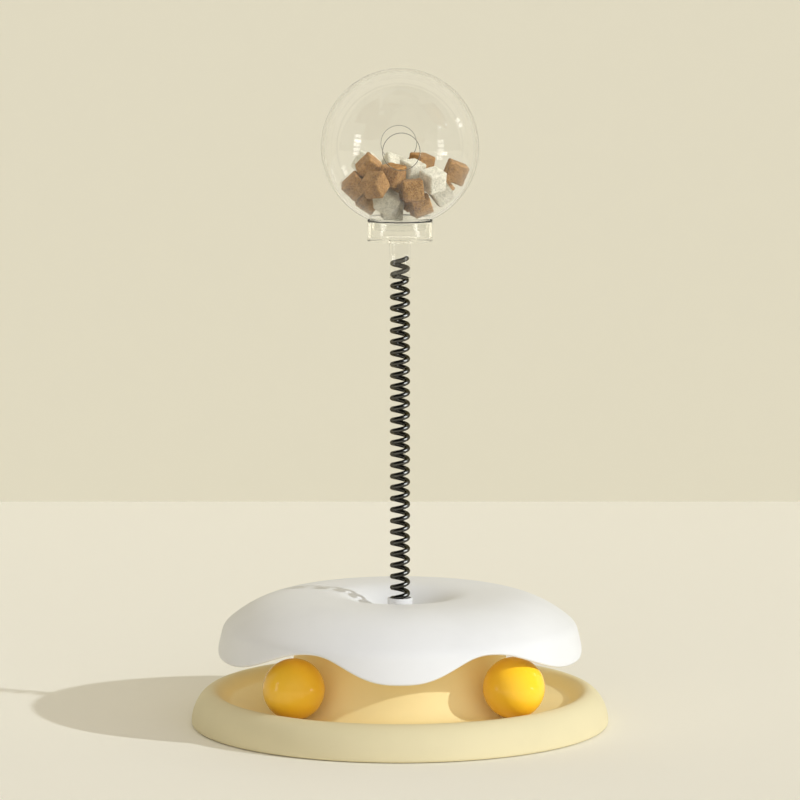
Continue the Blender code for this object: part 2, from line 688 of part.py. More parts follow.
def loosen(places, edges):
    """Move the treats apart, and away from the globe's wall, until none overlap."""
    wanted = 2 * FIT
    for _ in range(LOOSEN_ROUNDS):
        worst = 0.0
        for i, k in itertools.combinations(range(len(places)), 2):
            apart = places[k] - places[i]
            if apart.length > TREAT_SIZE * math.sqrt(3) + wanted:
                continue
            gap, way = cube_gap(apart, edges[i], edges[k])
            if gap < wanted:
                places[i] -= way * (wanted - gap) / 2
                places[k] += way * (wanted - gap) / 2
                worst = max(worst, wanted - gap)
        for place, (a, b, c) in zip(places, edges):
            far = max((place + (i * a + j * b + k * c) * (TREAT_SIZE / 2 + FIT)
                       for i in (-1, 1) for j in (-1, 1) for k in (-1, 1)), key=lambda p: p.length)
            if far.length > TREAT_REACH:
                place -= far.normalized() * (far.length - TREAT_REACH)
                worst = max(worst, far.length - TREAT_REACH)
        if worst < FIT / 30:
            return


def settle(place, turn, corners, faces, heap):
    """Let a treat down until it meets the treats below it or the globe's wall."""
    grow = Matrix.Scale((TREAT_SIZE + 2 * FIT) / TREAT_SIZE, 4)

    def free(drop):
        move = Matrix.Translation(place - Vector((0, 0, drop))) @ turn @ grow
        moved = [move @ corner for corner in corners]
        if max(point.length for point in moved) > TREAT_REACH:
            return False
        tree = BVHTree.FromPolygons(moved, faces)
        return not any(tree.overlap(other) for other in heap)

    step, drop = TREAT_SIZE / 20, 0.0
    while free(drop + step):
        drop += step
    while step > FIT / 30:
        step /= 2
        if free(drop + step):
            drop += step
    place.z -= drop


def add_treats(materials, pivot):
    """Loose heap of treats, each let down from the bottom of the heap up."""
    bm = treat_bmesh()
    corners = [vertex.co.copy() for vertex in bm.verts]
    faces = [[vertex.index for vertex in face.verts] for face in bm.faces]
    bm.free()
    places = [Vector(row[:3]) * GLOBE_INNER for row in TREATS]
    angles = [Euler([math.radians(a) for a in (row[4], row[5], row[3])], "ZXY") for row in TREATS]
    turns = [angle.to_matrix() for angle in angles]
    loosen(places, [turn.transposed()[:] for turn in turns])
    heap = []
    for i in sorted(range(len(TREATS)), key=lambda i: places[i].z):
        turn = turns[i].to_4x4()
        settle(places[i], turn, corners, faces, heap)
        move = Matrix.Translation(places[i]) @ turn
        heap.append(BVHTree.FromPolygons([move @ corner for corner in corners], faces))
        name = f"treat_{i + 1}"
        treat = add_part(name, mesh_from(treat_bmesh(), name), materials[TREATS[i][6]], pivot,
                         GLOBE_CENTRE + places[i])
        treat.rotation_mode = "ZXY"
        treat.rotation_euler = angles[i]


for old in list(bpy.data.objects):
    bpy.data.objects.remove(old, do_unlink=True)
PARTS = new_collection("cat_treat_dispenser")
CUTTERS = new_collection("cutters")

cream = plastic("cream plastic", (0.82, 0.72, 0.45), 0.45)
white = plastic("white plastic", (0.86, 0.85, 0.83), 0.40)
orange = plastic("orange gloss", (0.90, 0.45, 0.03), 0.20)
rubber = plastic("grey rubber", (0.20, 0.20, 0.20), 0.80)
steel = plastic("screw steel", (0.55, 0.55, 0.55), 0.35, metallic=1.0)
wire = plastic("black wire", (0.03, 0.03, 0.03), 0.25, metallic=0.8)
clear = plastic("clear plastic", (0.95, 0.95, 0.92), 0.03, transmission=0.95)
black = plastic("black seal", (0.02, 0.02, 0.02), 0.50)
crumbs = {BROWN: plastic(BROWN, (0.35, 0.17, 0.06), 0.90), WHITE: plastic(WHITE, (0.75, 0.71, 0.60), 0.90)}

add_tray(cream)
add_feet(rubber)
add_cover(white)
add_screws(steel)
add_socket(white)
add_ball("left_ball", LEFT_BALL_BEARING, orange)
add_ball("right_ball", RIGHT_BALL_BEARING, orange)

side_sway = add_pivot("side_sway_pivot", (0, 0, LOWER_PIVOT))
fore_sway = add_pivot("fore_sway_pivot", (0, 0, UPPER_PIVOT), side_sway)
add_spring(wire, side_sway)
add_stem(clear, fore_sway)
add_cap(clear, fore_sway)
add_seal(black, fore_sway)
add_globe(clear, fore_sway)
add_treats(crumbs, fore_sway)
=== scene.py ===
"""Looks of a cat treat dispenser toy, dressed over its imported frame.

A clear treat globe sways on a black coil spring over a white lobed cover, and two balls run round the
cream track below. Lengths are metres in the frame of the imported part: +Z is up and -Y is the front.
Bearings are degrees from the front, growing towards +X.
"""

from __future__ import annotations

import json
import logging
import math
from collections.abc import Sequence
from dataclasses import dataclass
from enum import Enum
from typing import Any, ClassVar

import bmesh
import bpy
import numpy as np
from mathutils import Matrix, Vector, noise

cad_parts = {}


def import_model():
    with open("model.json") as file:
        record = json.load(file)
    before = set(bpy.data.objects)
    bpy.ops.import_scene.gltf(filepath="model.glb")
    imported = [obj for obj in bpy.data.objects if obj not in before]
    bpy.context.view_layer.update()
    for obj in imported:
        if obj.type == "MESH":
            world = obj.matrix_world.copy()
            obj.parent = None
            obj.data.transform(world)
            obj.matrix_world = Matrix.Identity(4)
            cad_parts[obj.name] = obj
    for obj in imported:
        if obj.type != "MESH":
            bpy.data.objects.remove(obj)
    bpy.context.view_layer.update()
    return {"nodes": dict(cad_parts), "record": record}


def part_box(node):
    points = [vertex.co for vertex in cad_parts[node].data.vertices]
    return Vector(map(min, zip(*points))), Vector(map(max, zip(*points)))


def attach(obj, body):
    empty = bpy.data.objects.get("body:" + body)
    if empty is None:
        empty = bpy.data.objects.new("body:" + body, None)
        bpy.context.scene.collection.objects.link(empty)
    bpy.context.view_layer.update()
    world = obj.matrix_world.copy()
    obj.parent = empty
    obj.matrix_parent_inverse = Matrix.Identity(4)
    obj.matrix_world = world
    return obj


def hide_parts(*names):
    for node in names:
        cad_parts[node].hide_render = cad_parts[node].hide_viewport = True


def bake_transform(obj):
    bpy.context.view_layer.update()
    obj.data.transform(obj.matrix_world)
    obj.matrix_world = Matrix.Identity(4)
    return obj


LOG = logging.getLogger("treat_dispenser")
SMOOTH_ANGLE = math.radians(38)
FIT = 0.0003

Point = tuple[float, float]
Colour = tuple[float, float, float]
Steps = tuple[int, int, int]


class Body(Enum):
    """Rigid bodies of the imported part."""

    BASE = "base"
    LEFT_BALL = "left_ball"
    RIGHT_BALL = "right_ball"
    SPRING = "spring"
    HEAD = "head"


class Slot(Enum):
    """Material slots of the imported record."""

    CREAM = "cream"
    WHITE = "white"
    ORANGE = "orange"
    CLEAR = "clear"
    WIRE = "wire"
    STEEL = "steel"
    SEAL = "seal"
    RUBBER = "rubber"
    BROWN_TREAT = "brown_treat"
    WHITE_TREAT = "white_treat"


class Signal:
    """A value on its way through a material's nodes, with arithmetic."""

    def __init__(self, graph: Graph, socket: bpy.types.NodeSocket | None) -> None:
        """Wrap an output socket of a graph."""
        self.graph = graph
        self.socket = socket

    def _math(self, operation: str, first: Signal | float, second: Signal | float) -> Signal:
        """Math node on two values."""
        return self.graph.node("ShaderNodeMath", {"operation": operation}, {0: first, 1: second})

    def __add__(self, other: Signal | float) -> Signal:
        """Sum of two values."""
        return self._math("ADD", self, other)

    def __radd__(self, other: float) -> Signal:
        """Sum with a number in front."""
        return self._math("ADD", other, self)

    def __sub__(self, other: Signal | float) -> Signal:
        """Difference of two values."""
        return self._math("SUBTRACT", self, other)

    def __rsub__(self, other: float) -> Signal:
        """A number less this value."""
        return self._math("SUBTRACT", other, self)

    def __mul__(self, other: Signal | float) -> Signal:
        """Product of two values."""
        return self._math("MULTIPLY", self, other)

    def __rmul__(self, other: float) -> Signal:
        """Product with a number in front."""
        return self._math("MULTIPLY", other, self)

    def ramp(self, low: float, high: float) -> Signal:
        """Smooth step from 0 at the low value to 1 at the high one."""
        return self.graph.node("ShaderNodeMapRange", {"interpolation_type": "SMOOTHSTEP"},
                               {"Value": self, "From Min": low, "From Max": high})


class Graph:
    """Nodes of one material or of the sky."""

    MIX_FACTOR, MIX_A, MIX_B, MIX_OUT = 0, 6, 7, 2

    def __init__(self, owner: bpy.types.Material | bpy.types.World) -> None:
        """Clear the nodes of a material or a world.

        Args:
            owner: Whose nodes they are.
        """
        owner.use_nodes = True
        self.tree = owner.node_tree
        self.tree.nodes.clear()

    def node(self, kind: str, settings: dict[str, Any] | None = None,
             inputs: dict[str | int, Any] | None = None, out: str | int = 0) -> Signal:
        """Add a node.

        Args:
            kind: Blender's name of the node's type.
            settings: Values of the node itself, set first; "stops" fills a colour ramp.
            inputs: Signals to link, or plain values, by socket name or number.
            out: Output socket to hand on.

        Returns:
            The chosen output.
        """
        node = self.tree.nodes.new(kind)
        for name, value in (settings or {}).items():
            if name == "stops":
                self._fill_ramp(node.color_ramp, value)
            else:
                setattr(node, name, value)
        for key, value in (inputs or {}).items():
            if isinstance(value, Signal):
                self.tree.links.new(value.socket, node.inputs[key])
            else:
                node.inputs[key].default_value = value
        return Signal(self, node.outputs[out] if len(node.outputs) else None)

    @staticmethod
    def _fill_ramp(ramp: bpy.types.ColorRamp, stops: Sequence[tuple[float, Colour]]) -> None:
        """Give a colour ramp its stops.

        Args:
            ramp: Ramp with its two first stops.
            stops: Position and colour of each stop, in order.
        """
        while len(ramp.elements) < len(stops):
            ramp.elements.new(1.0)
        for element, (position, colour) in zip(ramp.elements, stops):
            element.position = position
            element.color = (*colour, 1.0)

    def noise(self, scale: float, detail: float = 3.0, roughness: float = 0.5) -> Signal:
        """Cloudy noise in the piece's own place.

        Args:
            scale: Repeats in a metre.
            detail: Octaves.
            roughness: Weight of the finer octaves.

        Returns:
            Value from 0 to 1.
        """
        place = self.node("ShaderNodeTexCoord", out="Object")
        return self.node("ShaderNodeTexNoise", None, {"Vector": place, "Scale": scale, "Detail": detail,
                                                      "Roughness": roughness}, "Fac")

    def cells(self, scale: float) -> Signal:
        """Distance to the nearest of scattered points, in cells of 1 / scale metres."""
        place = self.node("ShaderNodeTexCoord", out="Object")
        return self.node("ShaderNodeTexVoronoi", None, {"Vector": place, "Scale": scale}, "Distance")

    def mix(self, low: Signal | Colour, high: Signal | Colour, share: Signal) -> Signal:
        """Blend of two colours.

        Args:
            low: Colour at share 0.
            high: Colour at share 1.
            share: How much of the second colour shows.

        Returns:
            The blended colour.
        """
        ends = [end if isinstance(end, Signal) else (*end, 1.0) for end in (low, high)]
        return self.node("ShaderNodeMix", {"data_type": "RGBA"},
                         {self.MIX_FACTOR: share, self.MIX_A: ends[0], self.MIX_B: ends[1]}, self.MIX_OUT)

    def bump(self, height: Signal, distance: float) -> Signal:
        """Normal of a surface with fine relief.

        Args:
            height: Relief from 0 to 1.
            distance: Depth of the relief in metres.

        Returns:
            The bent normal.
        """
        return self.node("ShaderNodeBump", None, {"Height": height, "Distance": distance}, "Normal")

    def principled(self, inputs: dict[str | int, Any]) -> Signal:
        """Principled shader with the given sockets."""
        return self.node("ShaderNodeBsdfPrincipled", None, inputs, "BSDF")

    def show(self, shader: Signal, kind: str = "ShaderNodeOutputMaterial") -> None:
        """Send a shader to an output node."""
        self.node(kind, None, {"Surface": shader})


def tint(colour: Colour, share: float) -> Colour:
    """Colour made lighter or darker by a share."""
    return tuple(min(1.0, channel * share) for channel in colour)


class Finish:
    """A material that is made once and worn by many pieces."""

    name: str

    def paint(self, graph: Graph) -> Signal:
        """Shader of the finish in a fresh graph."""
        raise NotImplementedError

    def material(self) -> bpy.types.Material:
        """The finish's material, made on first use.

        Returns:
            The material.
        """
        found = bpy.data.materials.get(self.name)
        if found is None:
            found = bpy.data.materials.new(self.name)
            graph = Graph(found)
            graph.show(self.paint(graph))
        return found


@dataclass(frozen=True)
class MouldedPlastic(Finish):
    """Coloured moulding with faint flow clouds and a spark-eroded grain.

    Attributes:
        name: Material name.
        colour: Mean colour.
        roughness: Mean roughness.
        coat: Clear gloss on top.
        cloud: Share by which the colour wanders.
        grain_depth: Depth of the grain in metres.
        sheen: Roughness of the gloss.
    """

    name: str
    colour: Colour
    roughness: float
    coat: float = 0.0
    cloud: float = 0.02
    grain_depth: float = 0.00003
    sheen: float = 0.08
    flow_scale: ClassVar[float] = 22.0
    flow_band: ClassVar[Point] = (0.3, 0.7)
    flow_dulling: ClassVar[float] = 0.12
    grain_scale: ClassVar[float] = 1700.0
    grain_dulling: ClassVar[float] = 0.08

    def clouded(self, graph: Graph, colour: Colour, flow: Signal) -> Signal:
        """A colour that wanders a little with the flow."""
        return graph.mix(tint(colour, 1 - self.cloud), tint(colour, 1 + self.cloud),
                         flow.ramp(*self.flow_band))

    def hue(self, graph: Graph, flow: Signal) -> Signal:
        """Colour over the surface."""
        return self.clouded(graph, self.colour, flow)

    def paint(self, graph: Graph) -> Signal:
        """Shader with clouds in the colour and grain in the relief.

        Args:
            graph: Nodes of the material.

        Returns:
            The shader.
        """
        flow = graph.noise(self.flow_scale, 4.0, 0.55)
        grain = graph.noise(self.grain_scale, 2.0)
        rough = (flow - 0.5) * self.flow_dulling + (grain - 0.5) * self.grain_dulling + self.roughness
        return graph.principled({
            "Base Color": self.hue(graph, flow), "Roughness": rough, "Coat Weight": self.coat,
            "Coat Roughness": self.sheen, "Normal": graph.bump(grain, self.grain_depth)})


@dataclass(frozen=True)
class TrackPlastic(MouldedPlastic):
    """Moulding whose track is painted a deeper, warmer colour than its rim: painted bounce light for the
    shaded track.

    Attributes:
        painted_bounce: Colour inside the track, which is painted bounce light.
        painted_bounce_radius: Radius up to which the painted bounce colour holds.
        rim_radius: Radius from which it has the rim's colour.
    """

    painted_bounce: Colour = (1.0, 1.0, 1.0)
    painted_bounce_radius: float = 0.102
    rim_radius: float = 0.114

    def hue(self, graph: Graph, flow: Signal) -> Signal:
        """Colour by the distance from the axis, with painted bounce light inside the track.

        Args:
            graph: Nodes of the material.
            flow: Cloudy noise.

        Returns:
            The colour.
        """
        place = graph.node("ShaderNodeTexCoord", out="Object")
        flat = graph.node("ShaderNodeVectorMath", {"operation": "MULTIPLY"}, {0: place, 1: (1.0, 1.0, 0.0)})
        radius = graph.node("ShaderNodeVectorMath", {"operation": "LENGTH"}, {0: flat}, "Value")
        return graph.mix(self.clouded(graph, self.painted_bounce, flow), self.clouded(graph, self.colour, flow),
                         radius.ramp(self.painted_bounce_radius, self.rim_radius))


@dataclass(frozen=True)
class BlackWire(Finish):
    """Spring wire, blackened and oiled, with drawing marks and worn spots.

    Attributes:
        name: Material name.
        colour: Colour of the black skin.
        worn: Colour where the skin is thin.
        roughness: Mean roughness.
        edge: Tint of the gloss at the wire's edges.
    """

    name: str
    colour: Colour
    worn: Colour
    roughness: float
    edge: tuple[float, float, float, float] = (0.30, 0.28, 0.22, 1.0)
    skin_scale: ClassVar[float] = 260.0
    skin_band: ClassVar[Point] = (0.45, 0.75)
    skin_dulling: ClassVar[float] = 0.10
    mark_scale: ClassVar[float] = 2400.0
    mark_dulling: ClassVar[float] = 0.06
    mark_depth: ClassVar[float] = 0.000006

    def paint(self, graph: Graph) -> Signal:
        """Shader of a glossy black skin that is a little uneven.

        Args:
            graph: Nodes of the material.

        Returns:
            The shader.
        """
        skin = graph.noise(self.skin_scale, 5.0, 0.6)
        marks = graph.noise(self.mark_scale, 3.0, 0.6)
        rough = (skin - 0.5) * self.skin_dulling + (marks - 0.5) * self.mark_dulling + self.roughness
        return graph.principled({
            "Base Color": graph.mix(self.colour, self.worn, skin.ramp(*self.skin_band)), "Roughness": rough,
            "Metallic": 1.0, "Specular Tint": self.edge, "Normal": graph.bump(marks, self.mark_depth)})


@dataclass(frozen=True)
class ClearPlastic(Finish):
    """Polished clear moulding that lets lamp light through to what lies behind it.

    Attributes:
        name: Material name.
        colour: Faint tint of the walls.
        refraction: Index of refraction.
        coat: Gloss on top.
        ripple: Depth of the moulding's ripples in metres.
    """

    name: str
    colour: Colour
    refraction: float = 1.46
    coat: float = 0.0
    ripple: float = 0.00002
    polish: ClassVar[float] = 0.015
    coat_polish: ClassVar[float] = 0.02
    ripple_scale: ClassVar[float] = 55.0
    shadow: ClassVar[float] = 0.97

    def paint(self, graph: Graph) -> Signal:
        """Shader of clear plastic, open to the rays that look for lamps.

        Args:
            graph: Nodes of the material.

        Returns:
            The shader.
        """
        flow = graph.noise(self.ripple_scale, 2.0)
        clear = graph.principled({
            "Base Color": (*self.colour, 1.0), "Roughness": self.polish, "IOR": self.refraction,
            "Transmission Weight": 1.0, "Coat Weight": self.coat, "Coat Roughness": self.coat_polish,
            "Normal": graph.bump(flow, self.ripple)})
        through = graph.node("ShaderNodeBsdfTransparent", None,
                             {"Color": (*tint(self.colour, self.shadow), 1.0)})
        lamps = graph.node("ShaderNodeLightPath", out="Is Shadow Ray")
        return graph.node("ShaderNodeMixShader", None, {0: lamps, 1: clear, 2: through})


@dataclass(frozen=True)
class DryCrumb(Finish):
    """Porous dried treat with lumps, grit and pits.

    Attributes:
        name: Material name.
        dark: Colour in the pits.
        middle: Mean colour.
        light: Colour of the proud grains.
    """

    name: str
    dark: Colour
    middle: Colour
    light: Colour
    tones: ClassVar[tuple[float, float, float]] = (0.34, 0.5, 0.64)
    lump_scale: ClassVar[float] = 240.0
    lump_share: ClassVar[float] = 0.4
    grit_scale: ClassVar[float] = 1300.0
    grit_dulling: ClassVar[float] = 0.15
    pore_scale: ClassVar[float] = 620.0
    pore_edge: ClassVar[Point] = (0.16, 0.36)
    pore_share: ClassVar[float] = 0.6
    pore_depth: ClassVar[float] = 0.6
    relief: ClassVar[float] = 0.0003
    roughness: ClassVar[float] = 0.80

    def paint(self, graph: Graph) -> Signal:
        """Shader of a crumbly surface.

        Args:
            graph: Nodes of the material.

        Returns:
            The shader.
        """
        lumps = graph.noise(self.lump_scale, 6.0, 0.62)
        grit = graph.noise(self.grit_scale, 3.0, 0.7)
        pores = self.pore_share - graph.cells(self.pore_scale).ramp(*self.pore_edge) * self.pore_share
        grains = lumps * self.lump_share + grit * (1 - self.lump_share)
        stops = tuple(zip(self.tones, (self.dark, self.middle, self.light)))
        tone = graph.node("ShaderNodeValToRGB", {"stops": stops}, {"Fac": grains}, "Color")
        return graph.principled({
            "Base Color": graph.mix(tone, self.dark, pores),
            "Roughness": grit * self.grit_dulling + self.roughness,
            "Normal": graph.bump(grains - pores * self.pore_depth, self.relief)})


@dataclass(frozen=True)
class PlatedSteel(Finish):
    """Zinc-plated screw steel.

    Attributes:
        name: Material name.
        colour: Colour of the plating.
    """

    name: str
    colour: Colour
    cloud: ClassVar[float] = 0.15
    cloud_scale: ClassVar[float] = 600.0
    cloud_band: ClassVar[Point] = (0.3, 0.7)
    cloud_dulling: ClassVar[float] = 0.25
    roughness: ClassVar[float] = 0.22
    grain_scale: ClassVar[float] = 3000.0
    grain_depth: ClassVar[float] = 0.00002

    def paint(self, graph: Graph) -> Signal:
        """Shader of bright plating with dull clouds.

        Args:
            graph: Nodes of the material.

        Returns:
            The shader.
        """
        dull = graph.noise(self.cloud_scale, 4.0)
        colour = graph.mix(tint(self.colour, 1 - self.cloud), self.colour, dull.ramp(*self.cloud_band))
        return graph.principled({
            "Base Color": colour, "Metallic": 1.0, "Roughness": dull * self.cloud_dulling + self.roughness,
            "Normal": graph.bump(graph.noise(self.grain_scale), self.grain_depth)})


@dataclass(frozen=True)
class StudioPaint(Finish):
    """Painted floor and wall of the studio.

    Attributes:
        name: Material name.
        floor: Colour of the floor.
        wall: Colour of the wall.
    """

    name: str
    floor: Colour
    wall: Colour
    turn_height: ClassVar[float] = 0.0004
    roughness: ClassVar[float] = 0.75
    gloss: ClassVar[float] = 0.25

    def paint(self, graph: Graph) -> Signal:
        """Shader of matt paint that changes from floor to wall, and is clear from outside.

        Args:
            graph: Nodes of the material.

        Returns:
            The shader.
        """
        place = graph.node("ShaderNodeTexCoord", out="Object")
        height = graph.node("ShaderNodeSeparateXYZ", None, {0: place}, "Z")
        matt = graph.principled({
            "Base Color": graph.mix(self.floor, self.wall, height.ramp(0.0, self.turn_height)),
            "Roughness": self.roughness, "Specular IOR Level": self.gloss})
        clear = graph.node("ShaderNodeBsdfTransparent")
        outside = graph.node("ShaderNodeNewGeometry", out="Backfacing")
        return graph.node("ShaderNodeMixShader", None, {0: outside, 1: matt, 2: clear})


# The cream's warmer inner colour is painted bounce light in the shaded track, not the moulding's own
# colour.
CREAM = TrackPlastic("cream moulding", (0.78, 0.69, 0.43), 0.55, painted_bounce=(0.97, 0.81, 0.42))
WHITE = MouldedPlastic("white moulding", (0.835, 0.835, 0.83), 0.45)
ORANGE = MouldedPlastic("orange ball gloss", (0.92, 0.52, 0.016), 0.5, coat=0.55, grain_depth=0.000004,
                        sheen=0.03)
CLEAR = ClearPlastic("clear moulding", (1.0, 1.0, 0.998))
CLEAR_CUP = ClearPlastic("clear cup moulding", (0.985, 0.985, 0.97), 1.12, 1.0, 0.000004)
# Flat dark colour for the globe's hole edges: painted shade for the dark line that refraction draws round
# each hole.
PAINTED_EDGE_SHADE = MouldedPlastic("clear cut edge", (0.17, 0.16, 0.13), 0.25)
WIRE = BlackWire("blackened wire", (0.105, 0.103, 0.095), (0.15, 0.147, 0.135), 0.18)
STEEL = PlatedSteel("plated steel", (0.62, 0.62, 0.60))
SEAL = MouldedPlastic("black seal", (0.012, 0.013, 0.015), 0.45)
RUBBER = MouldedPlastic("grey pad rubber", (0.16, 0.16, 0.155), 0.78, grain_depth=0.00006)
BROWN_CRUMB = DryCrumb("brown crumb", (0.10, 0.042, 0.011), (0.32, 0.160, 0.046), (0.50, 0.29, 0.105))
WHITE_CRUMB = DryCrumb("white crumb", (0.38, 0.345, 0.255), (0.62, 0.575, 0.45), (0.76, 0.715, 0.59))
PAINT = StudioPaint("studio paint", (0.95, 0.915, 0.81), (0.74, 0.70, 0.565))


class Section:
    """Points of the sections that pieces are turned from, as radius and height."""

    @staticmethod
    def bezier(first: Point, control: Point, last: Point, count: int) -> list[Point]:
        """Points along a quadratic curve, both ends included.

        Args:
            first: Start.
            control: Corner that the curve bends towards.
            last: End.
            count: Steps along the curve.

        Returns:
            The points in order.
        """
        t = np.linspace(0.0, 1.0, count + 1)[:, None]
        ends = [np.array(point) for point in (first, control, last)]
        points = (1 - t) ** 2 * ends[0] + 2 * t * (1 - t) * ends[1] + t**2 * ends[2]
        return [tuple(point) for point in points]

    @classmethod
    def rounded(cls, corners: Sequence[tuple[float, float, float]], loop: bool,
                count: int = 4) -> list[Point]:
        """Straight-sided section with rounded corners.

        Args:
            corners: Radius, height and set-back of each corner.
            loop: Whether the last corner joins the first.
            count: Steps round each corner.

        Returns:
            The points in order.
        """
        found: list[Point] = []
        places = [Vector(corner[:2]) for corner in corners]
        for i, (radius, height, back) in enumerate(corners):
            at_end = not loop and i in (0, len(corners) - 1)
            if back <= 0 or at_end:
                found.append((radius, height))
                continue
            here = places[i]
            before = here + (places[i - 1] - here).normalized() * back
            after = here + (places[(i + 1) % len(places)] - here).normalized() * back
            found += cls.bezier(tuple(before), tuple(here), tuple(after), count)
        return found

    @staticmethod
    def ease(share: np.ndarray | float) -> np.ndarray | float:
        """Smooth step from 0 to 1."""
        return (1 - np.cos(np.pi * share)) / 2


class Shape:
    """Meshes made from rows of points."""

    MERGE = 1e-7
    BOSS_EDGE = 0.0003

    @classmethod
    def from_rows(cls, name: str, rows: np.ndarray, loop_rows: bool = False,
                  loop_columns: bool = True) -> bpy.types.Object:
        """Skin over rows of points.

        Args:
            name: Name of the piece.
            rows: Points, by row and column.
            loop_rows: Whether the last row joins the first.
            loop_columns: Whether the last column joins the first.

        Returns:
            The piece, with its faces turned outwards where it is closed.
        """
        count, width, _ = rows.shape
        index = np.arange(count * width).reshape(count, width)
        if loop_rows:
            index = np.vstack([index, index[:1]])
        if loop_columns:
            index = np.hstack([index, index[:, :1]])
        quads = np.stack([index[:-1, :-1], index[:-1, 1:], index[1:, 1:], index[1:, :-1]], axis=-1)
        mesh = bpy.data.meshes.new(name)
        mesh.from_pydata(rows.reshape(-1, 3).tolist(), [], quads.reshape(-1, 4).tolist())
        bm = bmesh.new()
        bm.from_mesh(mesh)
        bmesh.ops.remove_doubles(bm, verts=bm.verts, dist=cls.MERGE)
        bmesh.ops.dissolve_degenerate(bm, edges=bm.edges, dist=cls.MERGE)
        return cls.piece(name, bm, mesh)

    @staticmethod
    def piece(name: str, bm: bmesh.types.BMesh, mesh: bpy.types.Mesh | None = None) -> bpy.types.Object:
        """Piece from a bmesh, shaded smooth up to its sharp edges.

        Args:
            name: Name of the piece.
            bm: Its faces, freed here.
            mesh: Mesh to fill, or None for a new one.

        Returns:
            The piece, linked to the scene.
        """
        if bm.calc_volume(signed=True) < 0:
            bmesh.ops.reverse_faces(bm, faces=bm.faces)
        mesh = mesh or bpy.data.meshes.new(name)
        bm.to_mesh(mesh)
        bm.free()
        mesh.shade_smooth()
        mesh.set_sharp_from_angle(angle=SMOOTH_ANGLE)
        piece = bpy.data.objects.new(name, mesh)
        bpy.context.scene.collection.objects.link(piece)
        return piece

    @classmethod
    def turned(cls, name: str, outline: Sequence[Point], steps: int) -> bpy.types.Object:
        """Piece turned round Z: a ring, unless its outline starts and ends on the axis.

        Args:
            name: Name of the piece.
            outline: Radius and height of each point.
            steps: Facets round the piece.

        Returns:
            The piece.
        """
        angle = np.linspace(0.0, 2 * np.pi, steps, endpoint=False)
        radius, height = np.array(outline).T
        rows = np.stack([radius[:, None] * np.cos(angle), radius[:, None] * np.sin(angle),
                         np.repeat(height[:, None], steps, axis=1)], axis=-1)
        return cls.from_rows(name, rows, loop_rows=radius[0] > 0)

    @classmethod
    def blind_boss(cls, name: str, bore: float, wall: float, heights: tuple[float, float, float],
                   steps: int) -> bpy.types.Object:
        """Round boss that hangs from a wall and is bored from below.

        Args:
            name: Name of the piece.
            bore: Radius of its bore.
            wall: Thickness round the bore.
            heights: Heights of its root, of its foot and of the bore's end.
            steps: Facets round the boss.

        Returns:
            The boss, standing on the toy's axis.
        """
        root, foot, roof = heights
        out = bore + wall
        corners = [(0, root, 0), (out, root, 0), (out, foot, cls.BOSS_EDGE), (bore, foot, cls.BOSS_EDGE),
                   (bore, roof, 0), (0, roof, 0)]
        return cls.turned(name, Section.rounded(corners, loop=False), steps)

    @classmethod
    def tube(cls, name: str, path: np.ndarray, radius: float, sides: int) -> bpy.types.Object:
        """Round wire along a path, closed at both ends.

        Args:
            name: Name of the piece.
            path: Points of its centre line.
            radius: Half its thickness.
            sides: Facets round the wire.

        Returns:
            The piece.
        """
        along = np.gradient(path, axis=0)
        along /= np.linalg.norm(along, axis=1)[:, None]
        out = path * (1.0, 1.0, 0.0)
        out -= along * np.sum(out * along, axis=1)[:, None]
        out /= np.linalg.norm(out, axis=1)[:, None]
        side = np.cross(along, out)
        angle = np.linspace(0.0, 2 * np.pi, sides, endpoint=False)[None, :, None]
        ring = path[:, None] + radius * (np.cos(angle) * out[:, None] + np.sin(angle) * side[:, None])
        ends = np.repeat(path[[0, -1], None], sides, axis=1)
        return cls.from_rows(name, np.concatenate([ends[:1], ring, ends[1:]]))

    @staticmethod
    def join(name: str, pieces: Sequence[bpy.types.Object]) -> bpy.types.Object:
        """One piece from several that share a finish.

        Args:
            name: Name of the joined piece.
            pieces: Pieces to take in; they are removed.

        Returns:
            The joined piece.
        """
        bm = bmesh.new()
        for piece in pieces:
            copy = piece.data.copy()
            copy.transform(piece.matrix_basis)
            bm.from_mesh(copy)
            bpy.data.objects.remove(piece, do_unlink=True)
        return Shape.piece(name, bm)

    @staticmethod
    def carve(piece: bpy.types.Object, cutter: bpy.types.Object) -> None:
        """Cut one piece out of another, and remove the cutter.

        Args:
            piece: Piece that is cut.
            cutter: Closed mesh that is taken away.
        """
        modifier = piece.modifiers.new("cut", "BOOLEAN")
        modifier.solver = "EXACT"
        modifier.object = cutter
        graph = bpy.context.evaluated_depsgraph_get()
        mesh = bpy.data.meshes.new_from_object(piece.evaluated_get(graph))
        piece.modifiers.clear()
        piece.data = mesh
        bpy.data.objects.remove(cutter, do_unlink=True)


def bearing_point(bearing: float, radius: float, height: float = 0.0) -> Vector:
    """Point on a circle round the toy's axis."""
    angle = math.radians(bearing)
    return Vector((radius * math.sin(angle), -radius * math.cos(angle), height))


def bearings(count: int) -> list[float]:
    """Evenly spaced bearings from the front."""
    return [360.0 * i / count for i in range(count)]


class Assembly:
    """Pieces of the toy that are built and dressed together."""

    body: ClassVar[Body]

    def build(self) -> None:
        """Make every piece of the assembly."""
        raise NotImplementedError

    def dress(self, piece: bpy.types.Object, finish: Finish, slot: Slot, *nodes: str,
              body: Body | None = None) -> None:
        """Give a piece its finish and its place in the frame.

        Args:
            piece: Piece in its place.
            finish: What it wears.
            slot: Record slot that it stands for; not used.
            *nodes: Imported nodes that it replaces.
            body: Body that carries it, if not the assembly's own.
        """
        piece.data.materials.clear()
        piece.data.materials.append(finish.material())
        carrier = body or self.body
        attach(piece, carrier.value)
        if nodes:
            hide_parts(*nodes)
        LOG.info("%s rides on %s", piece.name, carrier.value)


